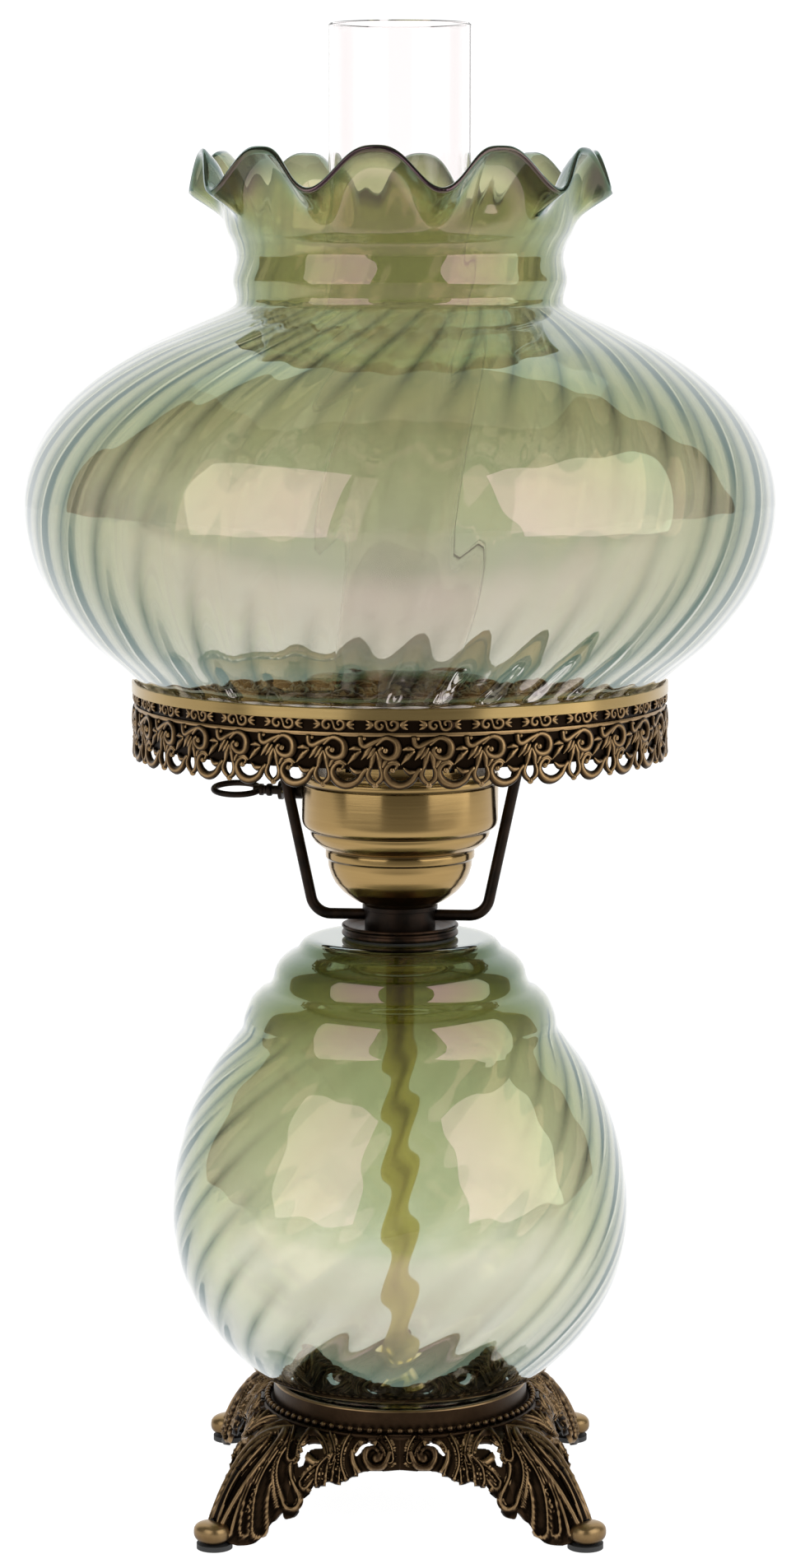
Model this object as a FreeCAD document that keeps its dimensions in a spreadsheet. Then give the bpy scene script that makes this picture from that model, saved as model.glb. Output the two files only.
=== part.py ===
"""Electric hurricane lamp styled as an oil lamp: one parametric document, one object per piece.

Millimetres, +Z up. The origin is on the lamp's axis at the level of the table.
The front is -Y and the switch key points to -X, turned a little towards the back.
"""
import FreeCAD, Part
import math
import os
import Sketcher
from FreeCAD import Placement, Rotation, Vector

doc = FreeCAD.newDocument("lamp")
sheet = doc.addObject("Spreadsheet::Sheet", "Sizes")

# ---------------------------------------------------------------- driving dimensions
SIZES = {
    # base casting
    "toe_reach": 88.5, "toe_radius": 10.8, "pad_height": 2.5, "pad_radius": 8.6, "toe_height": 10.6,
    "collar_radius": 62.7, "collar_bore": 58.7, "collar_top": 59.2,
    "plate_bottom": 44.0, "plate_top": 47.0, "flange_radius": 68.3, "flange_top": 49.3,
    "bead_radius": 1.9, "cast_wall": 4.5, "hole_radius": 4.2,
    # pipe and its nuts
    "pipe_radius": 5.1, "pipe_bore": 3.6, "pipe_bottom": 33.0, "pipe_top": 316.0, "hole_gap": 0.15,
    "nut_width": 16.0, "nut_height": 4.0, "washer_radius": 14.0, "washer_height": 1.5,
    # globe and its tube
    "foot_radius": 57.0, "foot_bottom": 48.2, "glass_wall": 3.0, "globe_radius": 112.4,
    "globe_top": 280.6, "globe_hole": 19.0, "floor_hole": 8.4,
    "tube_radius": 7.0, "tube_bore": 5.4, "tube_bottom": 70.0,
    # cap and neck
    "cap_bottom": 281.4, "cap_radius": 28.6, "cap_top": 287.3, "dish_top": 284.0,
    "neck_radius": 17.3, "neck_flange": 18.4, "neck_top": 297.0,
    # arms and the shade carrier
    "arm_radius": 2.7, "arm_level": 291.5, "arm_corner": 42.0, "arm_bend": 10.0, "arm_top": 393.2,
    "arm_root": 13.5, "arm_lean": 12.0, "arm_turn": -5.0,
    "spider_bottom": 394.0, "spider_wall": 2.0, "spider_hub": 68.0, "spider_hole": 57.0,
    "spoke_width": 8.0, "screw_radius": 1.5, "screw_head": 3.4,
    "ring_radius": 130.0, "ring_top": 407.6, "ledge_top": 403.6, "ledge_bore": 117.0,
    "skirt_radius": 127.4, "sheet_wall": 1.2, "band_wall": 1.0, "band_bottom": 371.0,
    # burner cup
    "cup_bottom": 297.0, "cup_radius": 48.0, "cup_top": 362.0, "cup_wall": 0.9,
    "holder_bore": 34.45, "bulb_way": 30.8, "holder_top": 372.0,
    # socket
    "socket_bottom": 309.0, "shell_radius": 17.6, "shell_wall": 0.7, "shell_bottom": 330.0,
    "shell_top": 386.0, "core_radius": 15.9, "core_bottom": 337.0, "core_top": 360.0,
    "screw_bore": 13.35, "screw_wall": 0.5, "screw_top": 385.0,
    # switch
    "key_level": 351.0, "key_turn": 167.0, "spindle_radius": 1.65, "spindle_bore": 1.73,
    "bushing_radius": 4.0, "rotor_radius": 4.5, "loop_centre": 82.5, "loop_tilt": -17.0,
    "loop_length": 26.0, "loop_width": 17.0, "loop_bar": 3.0,
    # lift-off glass
    "chimney_radius": 34.15, "chimney_wall": 2.3, "chimney_top": 720.8, "chimney_bottom": 363.0,
    "globe_level": 144.0, "globe_drop": 101.0, "globe_rise": 125.0,
    "shade_level": 493.0, "shade_drop": 118.0, "shade_rise": 102.0,
    "fitter_radius": 125.5, "shade_radius": 181.2, "shade_top": 655.0, "rim_radius": 102.2,
    # bulb
    "bulb_bottom": 361.8, "bulb_radius": 30.0, "base_radius": 13.0,
    "bulb_wall": 0.8, "base_top": 388.0,
}
PATTERNS = 32          # repeats of the filigree round the band
BAND_SEAM = 10.5       # degrees to the right of the front, where the strip's ends meet


class Size:
    """A length that knows its value and the spreadsheet expression that it comes from."""

    def __init__(self, value, text):
        self.value = value
        self.text = text

    def _join(self, other, sign, value):
        return Size(value, f"({self.text} {sign} {size(other).text})")

    def __add__(self, other):
        return self._join(other, "+", self.value + size(other).value)

    def __sub__(self, other):
        return self._join(other, "-", self.value - size(other).value)

    def __mul__(self, other):
        return self._join(other, "*", self.value * size(other).value)

    def __truediv__(self, other):
        return self._join(other, "/", self.value / size(other).value)


def size(number):
    """A plain number as a Size; a Size stays itself."""
    return number if isinstance(number, Size) else Size(float(number), f"{float(number):.6g}")


class Sizes:
    """The spreadsheet's cells as attributes."""


d = Sizes()
for row, (alias, number) in enumerate(SIZES.items(), start=1):
    sheet.set(f"A{row}", alias)
    sheet.set(f"B{row}", str(number))
    sheet.setAlias(f"B{row}", alias)
    setattr(d, alias, Size(number, f"Sizes.{alias}"))
doc.recompute()

PIECES = []


def piece(obj, label):
    """Mark an object as a finished piece; its label names its file."""
    obj.Label = label
    PIECES.append(obj)
    return obj


def bind(obj, **sizes):
    """Tie the named properties of an object to the spreadsheet."""
    for name, value in sizes.items():
        obj.setExpression(name, size(value).text)
    return obj


def plane_of(body, role):
    """One of the body's own origin planes."""
    return next(f for f in body.Origin.OriginFeatures if f.Role == role)


def new_sketch(body, role, name):
    """An empty sketch on one of the body's origin planes."""
    sketch = body.newObject("Sketcher::SketchObject", name)
    sketch.AttachmentSupport = [(plane_of(body, role), "")]
    sketch.MapMode = "FlatFace"
    return sketch


def pin(sketch, geometry, vertex, x, y):
    """Hold a sketch vertex at (x, y) from the origin, tied to the spreadsheet."""
    for kind, value in (("DistanceX", size(x)), ("DistanceY", size(y))):
        index = sketch.addConstraint(
            Sketcher.Constraint(kind, -1, 1, geometry, vertex, value.value))
        sketch.setExpression(f"Constraints[{index}]", value.text)


def polygon(sketch, points):
    """A closed outline of straight edges through the points, every corner pinned."""
    count = len(points)
    flat = [Vector(size(x).value, size(y).value, 0) for x, y in points]
    for i in range(count):
        sketch.addGeometry(Part.LineSegment(flat[i], flat[(i + 1) % count]), False)
    for i in range(count):
        sketch.addConstraint(Sketcher.Constraint("Coincident", i, 2, (i + 1) % count, 1))
        pin(sketch, i, 1, *points[i])


def turned(label, points, finished=True):
    """A turned or spun piece: a closed half-section (radius, height) revolved about +Z."""
    body = doc.addObject("PartDesign::Body", f"{label}_body")
    sketch = new_sketch(body, "XZ_Plane", f"{label}_section")
    polygon(sketch, points)
    spin = body.newObject("PartDesign::Revolution", f"{label}_turn")
    spin.Profile = sketch
    spin.ReferenceAxis = (sketch, ["V_Axis"])
    spin.Angle = 360
    sketch.Visibility = False
    return piece(body, label) if finished else body


def ring(label, outer, bore, bottom, top, finished=True):
    """A plain washer or sleeve."""
    return turned(label, [(bore, bottom), (outer, bottom), (outer, top), (bore, top)], finished)


def cylinder(name, radius, height, place=None):
    """A plain cylinder, for pins and cutters."""
    obj = bind(doc.addObject("Part::Cylinder", name), Radius=radius, Height=height)
    if place is not None:
        obj.Placement = place
    return obj


def cut(label, base, *tools, finished=True):
    """The base less every tool."""
    result = base
    for number, tool in enumerate(tools):
        step = doc.addObject("Part::Cut", f"{label}_cut{number}")
        step.Base = result
        step.Tool = tool
        result = step
    return piece(result, label) if finished else result


def fuse(label, *shapes, finished=True):
    """One solid from several."""
    joined = doc.addObject("Part::MultiFuse", f"{label}_fuse")
    joined.Shapes = list(shapes)
    joined.Refine = False
    return piece(joined, label) if finished else joined


def group(label, *shapes):
    """Identical fasteners kept as separate solids in one piece file."""
    joined = doc.addObject("Part::Compound", f"{label}_group")
    joined.Links = list(shapes)
    return piece(joined, label)


def made(label, shape, finished=True):
    """A free form that neither a sketch nor a primitive gives."""
    obj = doc.addObject("Part::Feature", f"{label}_form")
    obj.Shape = shape
    return piece(obj, label) if finished else obj


def hex_nut(label, bottom, height):
    """A hexagon nut on the pipe."""
    blank = doc.addObject("Part::Prism", f"{label}_blank")
    blank.Polygon = 6
    bind(blank, Circumradius=d.nut_width / math.sqrt(3), Height=height)
    bind(blank, **{"Placement.Base.z": bottom})
    bore = cylinder(f"{label}_bore", d.pipe_radius + d.hole_gap, height)
    bind(bore, **{"Placement.Base.z": bottom})
    return cut(label, blank, bore)


def along(angle, reach, height, direction):
    """A placement at a reach and height on a bearing, its Z axis along the direction."""
    turn = math.radians(angle)
    point = Vector(reach * math.cos(turn), reach * math.sin(turn), height)
    return Placement(point, Rotation(Vector(0, 0, 1), direction))


def outward(angle):
    """The level direction on a bearing."""
    turn = math.radians(angle)
    return Vector(math.cos(turn), math.sin(turn), 0)


# ---------------------------------------------------------------- base casting
# Lower edge of the skirt on one half of a side: bearing from the middle of the side in degrees,
# reach, height, and how much the surface bulges before it falls to the edge.
EDGE = [(0, 76.0, 34.0, 1.4), (16, 80.0, 34.0, 1.4), (21, 84.5, 29.5, 1.6), (28.5, 94.4, 25.0, 1.9),
        (32, 101.0, 16.5, 2.1), (35, 108.0, 7.0, 2.3), (38.5, 119.0, 3.5, 2.6), (45, 131.0, 8.0, 3.0)]


def skirt_section(bearing, reach, height, bulge):
    """Closed strip of the cast wall on one bearing: two splines and two short ends."""
    start_r, start_z = 61.0, 50.0
    outer = []
    inner = []
    for step in range(6):
        share = step / 5.0
        r = start_r + (reach - start_r) * share
        z = start_z - (start_z - height) * share ** bulge
        slope = -(start_z - height) * bulge * max(share, 0.02) ** (bulge - 1) / (reach - start_r)
        length = math.hypot(1.0, slope)
        outer.append((r, z))
        inner.append((r + d.cast_wall.value * slope / length, z - d.cast_wall.value / length))
    turn = math.radians(bearing)

    def placed(points):
        return [Vector(r * math.cos(turn), r * math.sin(turn), z) for r, z in points]

    edges = []
    for line in (placed(outer), placed(inner)):
        curve = Part.BSplineCurve()
        curve.interpolate(line)
        edges.append(curve.toShape())
    top, bottom = placed([outer[0], inner[0]]), placed([outer[-1], inner[-1]])
    return Part.Wire([edges[0], Part.LineSegment(bottom[0], bottom[1]).toShape(),
                      edges[1], Part.LineSegment(top[1], top[0]).toShape()])


def skirt_quarter():
    """The cast wall from the middle of one side to the middle of the next, over one leg."""
    half = [(45 - b, r, z, p) for b, r, z, p in reversed(EDGE)]
    rows = [(b, r, z, p) for b, r, z, p in EDGE] + [(45 + b, r, z, p) for b, r, z, p in half[1:]]
    wires = [skirt_section(*row) for row in rows]
    return Part.makeLoft(wires, True, True, False)


quarter = skirt_quarter()
skirt = None
for side in range(4):
    leg = quarter.copy()
    leg.rotate(Vector(0, 0, 0), Vector(0, 0, 1), 90 * side)
    skirt = leg if skirt is None else skirt.fuse(leg)
base_skirt = made("base_skirt", skirt, finished=False)

base_collar = turned("base_collar", [
    (d.pipe_radius + d.hole_gap, d.plate_bottom), (d.flange_radius - 3.0, d.plate_bottom),
    (d.flange_radius, d.plate_bottom + 2.5), (d.flange_radius, d.flange_top),
    (d.collar_radius + 4.8, d.flange_top + d.bead_radius * 0.7),
    (d.collar_radius + 2.6, d.flange_top + d.bead_radius * 0.7),
    (d.collar_radius, d.flange_top + 0.4), (d.collar_radius, d.collar_top - 0.6),
    (d.collar_radius - 0.8, d.collar_top), (d.collar_bore, d.collar_top),
    (d.collar_bore, d.plate_top), (d.pipe_radius + d.hole_gap, d.plate_top)], finished=False)

toes = []
pads = []
for corner in range(4):
    bearing = 45 + 90 * corner
    reach = d.toe_reach.value * math.sqrt(2)
    toe = cylinder(f"toe{corner}", d.toe_radius, d.toe_height)
    toe.Placement = along(bearing, reach, SIZES["pad_height"], Vector(0, 0, 1))
    toes.append(toe)
    pad = cylinder(f"pad{corner}", d.pad_radius, d.pad_height)
    pad.Placement = along(bearing, reach, 0, Vector(0, 0, 1))
    pads.append(pad)

# Two piercings beside the middle scrolls and two beside the legs, on every side.
piercings = []
for side in range(4):
    for offset, reach in ((-33.0, 82.0), (-13.5, 71.5), (13.5, 71.5), (33.0, 82.0)):
        bearing = 90 * side + offset
        axis = outward(bearing) * 0.8 + Vector(0, 0, 0.6)
        start = outward(bearing) * (reach - 9.6) + Vector(0, 0, 44.5 - 7.2)
        hole = cylinder(f"piercing{side}_{offset:.0f}", d.hole_radius, 24)
        hole.Placement = Placement(start, Rotation(Vector(0, 0, 1), axis))
        piercings.append(hole)
cast = fuse("base_blank", base_skirt, base_collar, *toes, finished=False)
holes = doc.addObject("Part::MultiFuse", "piercings")
holes.Shapes = piercings
cut("base_casting", cast, holes)
group("foot_pads", *pads)

ring("seat_gasket", d.foot_radius + 0.8, d.foot_radius - 16, d.plate_top, d.foot_bottom)
ring("base_washer", d.washer_radius, d.pipe_radius + d.hole_gap,
     d.plate_bottom - d.washer_height, d.plate_bottom)
ring("lock_washer", d.nut_width / 2, d.pipe_radius + d.hole_gap,
     d.plate_bottom - d.washer_height - 1.2, d.plate_bottom - d.washer_height)
hex_nut("bottom_nut", d.plate_bottom - d.washer_height - 1.2 - d.nut_height, d.nut_height)
turned("cord_bushing", [
    (d.pipe_bore - 0.8, d.pipe_bottom - 2.2), (d.pipe_radius + 2.2, d.pipe_bottom - 2.2),
    (d.pipe_radius + 2.2, d.pipe_bottom + 2.6), (d.pipe_radius, d.pipe_bottom + 2.6),
    (d.pipe_radius, d.pipe_bottom), (d.pipe_bore - 0.8, d.pipe_bottom)])
ring("threaded_pipe", d.pipe_radius, d.pipe_bore, d.pipe_bottom, d.pipe_top)


# ---------------------------------------------------------------- blown glass
def offset_outline(points, wall):
    """The inner outline: every point moved by the wall thickness to the left of its tangent."""
    inner = []
    last = len(points) - 1
    for i, (r, z) in enumerate(points):
        before, after = points[max(i - 1, 0)], points[min(i + 1, last)]
        run, rise = after[0] - before[0], after[1] - before[1]
        length = math.hypot(run, rise)
        inner.append((r - wall * rise / length, z + wall * run / length))
    return inner


def belly_curve(widest, level, drop, rise, levels):
    """Outline points of a belly: half an ellipse of one height below its widest place, another above.

    drop and rise are the half-heights that the ellipses would have if they ran on to the axis.
    """
    points = []
    for z in levels:
        share = (z - level) / (rise if z > level else drop)
        points.append((widest * math.sqrt(1 - share ** 2), z))
    return points


def blown(label, stretches, wall):
    """Blown glass: an outline made of smooth stretches that meet at soft corners, revolved.

    The outer outline runs up the outside. Each stretch is a spline through its points,
    and the inner outline is the same one moved in by the wall.
    """
    edges = []
    ends = []
    outer = [point for stretch in stretches for point in stretch]
    inner = offset_outline(outer, wall)
    for side in (outer, inner):
        start = 0
        previous = None
        for stretch in stretches:
            line = [Vector(r, 0, z) for r, z in side[start:start + len(stretch)]]
            start += len(stretch)
            if previous is not None:
                edges.append(Part.LineSegment(previous, line[0]).toShape())
            if len(line) == 2:
                edges.append(Part.LineSegment(line[0], line[1]).toShape())
            else:
                curve = Part.BSplineCurve()
                curve.interpolate(line)
                edges.append(curve.toShape())
            previous = line[-1]
        ends.append((Vector(side[0][0], 0, side[0][1]), previous))
    edges.append(Part.LineSegment(ends[0][0], ends[1][0]).toShape())
    edges.append(Part.LineSegment(ends[0][1], ends[1][1]).toShape())
    wire = Part.Wire(Part.__sortEdges__(edges))
    return made(label, Part.Face(wire).revolve(Vector(0, 0, 0), Vector(0, 0, 1), 360))


foot, belly = d.foot_radius.value, d.globe_radius.value
blown("globe_glass", [
    [(d.floor_hole.value, 51.0), (foot - 5, 51.0)],
    [(foot - 3.0, 48.2), (foot, 48.2)],
    [(foot, 49.2), (foot, 58.8)],
    [(foot + 3.6, 61.0)] + belly_curve(
        belly, SIZES["globe_level"], SIZES["globe_drop"], SIZES["globe_rise"],
        (66, 76, 90, 108, 126, SIZES["globe_level"], 162, 180, 198, 216, 233)),
    [(76.9, 239.5), (76.0, 244.0), (73.3, 250.0), (68.2, 255.0)],
    [(62.6, 259.0), (61.6, 264.5), (59.0, 269.6), (54.5, 273.2)],
    [(49.4, 275.8), (47.4, 279.0), (44.5, d.globe_top.value - 0.4), (40.0, d.globe_top.value)],
    [(38.0, d.globe_top.value), (d.globe_hole.value, d.globe_top.value)]], d.glass_wall.value)

turned("tube_seat", [
    (d.tube_bore, 54.2), (11.0, 54.2), (11.0, 56.0), (8.2, 59.0), (8.2, 64.0), (10.6, 67.6),
    (10.6, d.tube_bottom), (d.tube_bore, d.tube_bottom)])
ring("centre_tube", d.tube_radius, d.tube_bore, d.tube_bottom, d.cap_bottom)
ring("cap_gasket", d.cap_radius - 1.6, d.globe_hole + 1.5, d.globe_top, d.cap_bottom)

# ---------------------------------------------------------------- cap and neck
turned("vase_cap", [
    (d.pipe_radius + d.hole_gap, d.cap_bottom), (d.cap_radius - 1.2, d.cap_bottom),
    (d.cap_radius - 0.1, d.cap_bottom + 1.0), (d.cap_radius - 0.1, d.cap_bottom + 2.0),
    (d.cap_radius - 0.9, d.cap_bottom + 3.2), (d.cap_radius - 0.9, d.cap_top - 1.9),
    (d.cap_radius, d.cap_top - 1.2), (d.cap_radius, d.cap_top - 0.4),
    (d.cap_radius - 0.5, d.cap_top), (d.cap_radius - 1.6, d.cap_top),
    (d.cap_radius - 3.4, d.cap_top - 1.4), (d.cap_radius - 8.0, d.dish_top),
    (d.pipe_radius + d.hole_gap, d.dish_top)])
neck_blank = turned("neck_blank", [
    (d.pipe_radius + d.hole_gap, d.dish_top), (d.neck_radius, d.dish_top),
    (d.neck_radius, d.neck_top - 2.7), (d.neck_flange, d.neck_top - 2.3),
    (d.neck_flange, d.neck_top - 0.4), (d.neck_flange - 0.5, d.neck_top),
    (d.pipe_radius + d.hole_gap, d.neck_top)], finished=False)
arm_bearings = {"arm_right": SIZES["arm_turn"], "arm_left": 180 + SIZES["arm_turn"]}
arm_holes = []
for name, bearing in arm_bearings.items():
    hole = cylinder(f"{name}_hole", d.arm_radius + 0.05, 12)
    hole.Placement = along(bearing, SIZES["arm_root"] - 1, SIZES["arm_level"], outward(bearing))
    arm_holes.append(hole)
cut("neck_hub", neck_blank, *arm_holes)


# ---------------------------------------------------------------- arms and shade carrier
def bent_arm(label, bearing):
    """A wire that leaves the neck level, bends up and leans outward to the spider."""
    lean = math.radians(SIZES["arm_lean"])
    radius, level = SIZES["arm_bend"], SIZES["arm_level"]
    rise = SIZES["arm_top"] - level
    corner = Vector(SIZES["arm_corner"], 0, level)
    climb = Vector(math.sin(lean), 0, math.cos(lean))
    turn = math.pi / 2 - lean
    setback = radius * math.tan(turn / 2)
    first, last = corner - Vector(setback, 0, 0), corner + climb * setback
    middle = (corner + (Vector(-1, 0, 0) + climb).normalize()
              * (radius / math.cos(turn / 2) - radius))
    start = Vector(SIZES["arm_root"], 0, level)
    end = corner + climb * (rise / climb.z)
    path = Part.Wire([Part.LineSegment(start, first).toShape(),
                      Part.Arc(first, middle, last).toShape(),
                      Part.LineSegment(last, end).toShape()])
    section = Part.Wire([Part.Circle(start, Vector(1, 0, 0), SIZES["arm_radius"]).toShape()])
    wire = made(f"{label}_wire", path.makePipeShell([section], True, False), finished=False)
    wire.Placement = Placement(Vector(0, 0, 0), Rotation(Vector(0, 0, 1), bearing))
    hole = cylinder(f"{label}_tap", d.screw_radius + 0.05, 12)
    hole.Placement = along(bearing, end.x - 0.6, SIZES["arm_top"] - 10, Vector(0, 0, 1))
    cut(label, wire, hole)
    return end.x - 0.6


for name, bearing in arm_bearings.items():
    screw_reach = bent_arm(name, bearing)

spider_top = SIZES["spider_bottom"] + SIZES["spider_wall"]
arm_screws = []
spider_holes = []
for name, bearing in arm_bearings.items():
    shank = cylinder(f"{name}_shank", d.screw_radius, 8)
    shank.Placement = along(bearing, screw_reach, spider_top - 8, Vector(0, 0, 1))
    head = cylinder(f"{name}_head", d.screw_head, 2)
    head.Placement = along(bearing, screw_reach, spider_top, Vector(0, 0, 1))
    arm_screws.append(fuse(f"{name}_screw", shank, head, finished=False))
    hole = cylinder(f"{name}_clear", d.screw_radius + 0.1, 4)
    hole.Placement = along(bearing, screw_reach, spider_top - 3, Vector(0, 0, 1))
    spider_holes.append(hole)
group("arm_screws", *arm_screws)

spider_hub = ring("spider_hub", d.spider_hub, d.spider_hole, d.spider_bottom,
                  d.spider_bottom + d.spider_wall, finished=False)
spokes = []
for number in range(4):
    spoke = doc.addObject("Part::Box", f"spoke{number}")
    bind(spoke, Length=d.skirt_radius - d.sheet_wall - d.spider_hub + 2.3,
         Width=d.spoke_width, Height=d.spider_wall)
    turn = SIZES["arm_turn"] + 90 * number
    side = outward(turn + 90) * (-SIZES["spoke_width"] / 2)
    spoke.Placement = Placement(
        outward(turn) * (SIZES["spider_hub"] - 2.5) + side + Vector(0, 0, SIZES["spider_bottom"]),
        Rotation(Vector(0, 0, 1), turn))
    spokes.append(spoke)
spider_blank = fuse("spider_blank", spider_hub, *spokes, finished=False)
cut("ring_spider", spider_blank, *spider_holes)

turned("shade_ring", [
    (d.skirt_radius - d.sheet_wall, 391), (d.skirt_radius, 391),
    (d.skirt_radius, d.ledge_top - d.sheet_wall), (d.ring_radius, d.ledge_top - d.sheet_wall),
    (d.ring_radius, d.ring_top - 0.4), (d.ring_radius - 0.5, d.ring_top),
    (d.ring_radius - d.sheet_wall, d.ring_top), (d.ring_radius - d.sheet_wall, d.ledge_top),
    (d.ledge_bore, d.ledge_top), (d.ledge_bore, d.ledge_top - d.sheet_wall),
    (d.skirt_radius - d.sheet_wall, d.ledge_top - d.sheet_wall)])

band_outer = d.skirt_radius + d.band_wall
band_blank = turned("band_blank", [
    (d.skirt_radius, d.band_bottom), (band_outer, d.band_bottom), (band_outer, 395.0),
    (band_outer + 0.5, 395.4), (band_outer + 0.5, 396.6), (band_outer, 397.0),
    (band_outer, d.ledge_top - d.sheet_wall), (d.skirt_radius, d.ledge_top - d.sheet_wall)],
    finished=False)
step_angle = 360.0 / PATTERNS
band_cutters = []
for number in range(PATTERNS):
    middle = -90 + BAND_SEAM + step_angle * (number + 0.5)
    # (turn within the repeat, height, radius): loop, scallop beside it, slit over the pendant
    for turn, height, radius in ((-1.6, 377.2, 2.9), (-4.6, 369.9, 2.2), (1.7, 369.9, 2.2),
                                 (3.6, 379.0, 1.5), (2.4, 386.5, 1.3)):
        start = outward(middle + turn) * (SIZES["skirt_radius"] - 3) + Vector(0, 0, height)
        cutter = Part.makeCylinder(radius, 8, start, outward(middle + turn))
        band_cutters.append(cutter)
band_holes = made("band_holes", Part.makeCompound(band_cutters), finished=False)
cut("filigree_band", band_blank, band_holes)
rivet = cylinder("filigree_rivet_pin", 1.6, 1.2)
rivet.Placement = along(-90 + BAND_SEAM, SIZES["skirt_radius"] + SIZES["band_wall"] + 0.02, 400.0,
                        outward(-90 + BAND_SEAM))
piece(rivet, "filigree_rivet")

# ---------------------------------------------------------------- burner cup
cup_outline = [
    (d.neck_flange - 0.5, d.cup_bottom), (22.7, 300), (25.8, 302), (28.4, 304), (31.8, 308),
    (33.8, 312), (35.0, 316), (35.2, 319.6), (36.3, 320.4), (36.3, 323.6), (35.6, 324.6),
    (38.0, 325.4), (41.6, 328.4), (43.8, 331.6), (43.8, 334.0), (45.4, 334.6), (47.2, 336.4),
    (d.cup_radius - 0.1, 339), (d.cup_radius, 356.4), (d.cup_radius - 0.6, 357.2),
    (d.cup_radius + 0.3, 358.2), (d.cup_radius + 0.3, 360.6), (d.cup_radius - 0.6, 361.8),
    (d.cup_radius - 1.4, d.cup_top), (d.cup_radius - 3.0, d.cup_top)]
cup_inside = [(size(r) - d.cup_wall * 1.3, z) for r, z in cup_outline[1:-2]]
cup_points = (cup_outline + [(d.cup_radius - 3.0, d.cup_top - d.cup_wall)] + list(reversed(cup_inside))
              + [(d.neck_flange - 1.5, d.cup_bottom + d.cup_wall),
                 (d.pipe_radius + d.hole_gap, d.cup_bottom + d.cup_wall),
                 (d.pipe_radius + d.hole_gap, d.cup_bottom)])
cup_blank = turned("cup_blank", cup_points, finished=False)
KEY = SIZES["key_turn"]
key_out = outward(KEY)
cup_hole = cylinder("cup_key_hole", 2.6, 12, along(KEY, 41, SIZES["key_level"], key_out))
cut("burner_cup", cup_blank, cup_hole)
ring("cup_washer", d.washer_radius - 2, d.pipe_radius + d.hole_gap, d.cup_bottom + d.cup_wall,
     d.cup_bottom + d.cup_wall + 1.2)
hex_nut("cup_lock_nut", d.cup_bottom + d.cup_wall + 1.2, d.nut_height)

holder_blank = turned("holder_blank", [
    (d.bulb_way, d.cup_top), (43.0, d.cup_top), (43.0, d.cup_top - 4), (44.2, d.cup_top - 4),
    (44.2, d.cup_top), (47.0, d.cup_top), (47.0, d.chimney_bottom),
    (d.holder_bore + 0.9, d.chimney_bottom), (d.holder_bore + 0.9, d.holder_top),
    (d.holder_bore, d.holder_top), (d.holder_bore, d.chimney_bottom),
    (d.bulb_way, d.chimney_bottom)], finished=False)
slots = []
for number in range(4):
    slot = doc.addObject("Part::Box", f"holder_slot{number}")
    bind(slot, Length=12, Width=4, Height=d.holder_top - d.chimney_bottom)
    turn = 45 + 90 * number
    slot.Placement = Placement(
        outward(turn) * 29 + outward(turn + 90) * -2 + Vector(0, 0, SIZES["chimney_bottom"] + 1.5),
        Rotation(Vector(0, 0, 1), turn))
    slots.append(slot)
cut("chimney_holder", holder_blank, *slots)

# ---------------------------------------------------------------- socket
cap_blank = turned("cap_blank", [
    (d.pipe_radius + d.hole_gap, d.socket_bottom), (8.0, d.socket_bottom), (8.0, 317),
    (12.5, 320.5), (17.0, 326.5), (18.8, 330.4), (18.8, 337), (18.0, 337), (18.0, 330.6),
    (16.2, 327), (12.0, 321.4), (7.4, 318), (d.pipe_radius + d.hole_gap, 318)], finished=False)
set_screw = cylinder("set_screw", 1.5, 4.4,
                     along(90, SIZES["pipe_radius"] + 0.2, 312.5, outward(90)))
piece(set_screw, "socket_set_screw")
tapped = cylinder("set_screw_hole", 1.55, 6, along(90, SIZES["pipe_radius"] + 0.05, 312.5,
                                                   outward(90)))
cut("socket_cap", cap_blank, tapped)

shell_blank = ring("shell_blank", d.shell_radius, d.shell_radius - d.shell_wall, d.shell_bottom,
                   d.shell_top, finished=False)
sleeve_blank = ring("sleeve_blank", d.shell_radius - d.shell_wall - 0.1, d.core_radius + 0.2,
                    d.core_bottom - 4, d.shell_top - 1, finished=False)
for label, blank in (("socket_shell", shell_blank), ("socket_insulator", sleeve_blank)):
    hole = cylinder(f"{label}_key_hole", 2.4, 9, along(KEY, 12, SIZES["key_level"], key_out))
    cut(label, blank, hole)

core_blank = turned("core_blank", [
    (0, d.core_bottom), (d.core_radius, d.core_bottom), (d.core_radius, d.core_top),
    (0, d.core_top)], finished=False)
rotor_room = cylinder("rotor_room", d.rotor_radius + 0.3, 7.2,
                      along(KEY, 3.4, SIZES["key_level"], key_out))
spindle_way = cylinder("spindle_way", d.spindle_bore + 0.2, 9,
                       along(KEY, 9, SIZES["key_level"], key_out))
rivet_way = cylinder("rivet_way", 1.55, 3, along(0, 0, SIZES["core_top"] - 2.4, Vector(0, 0, 1)))
terminal_screws = []
core_tools = [rotor_room, spindle_way, rivet_way]
for bearing in (KEY + 90, KEY - 90):
    way = outward(bearing)
    shank = cylinder(f"terminal_shank{bearing:.0f}", 1.5, 6, along(bearing, 7, 341, way))
    head = cylinder(f"terminal_head{bearing:.0f}", 2.8, 1.8, along(bearing, 13, 341, way))
    terminal_screws.append(fuse(f"terminal{bearing:.0f}", shank, head, finished=False))
    core_tools.append(cylinder(f"terminal_tap{bearing:.0f}", 1.55, 8,
                               along(bearing, 6.9, 341, way)))
    core_tools.append(cylinder(f"terminal_room{bearing:.0f}", 3.4, 5, along(bearing, 13, 341, way)))
cut("socket_body", core_blank, *core_tools)
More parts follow.
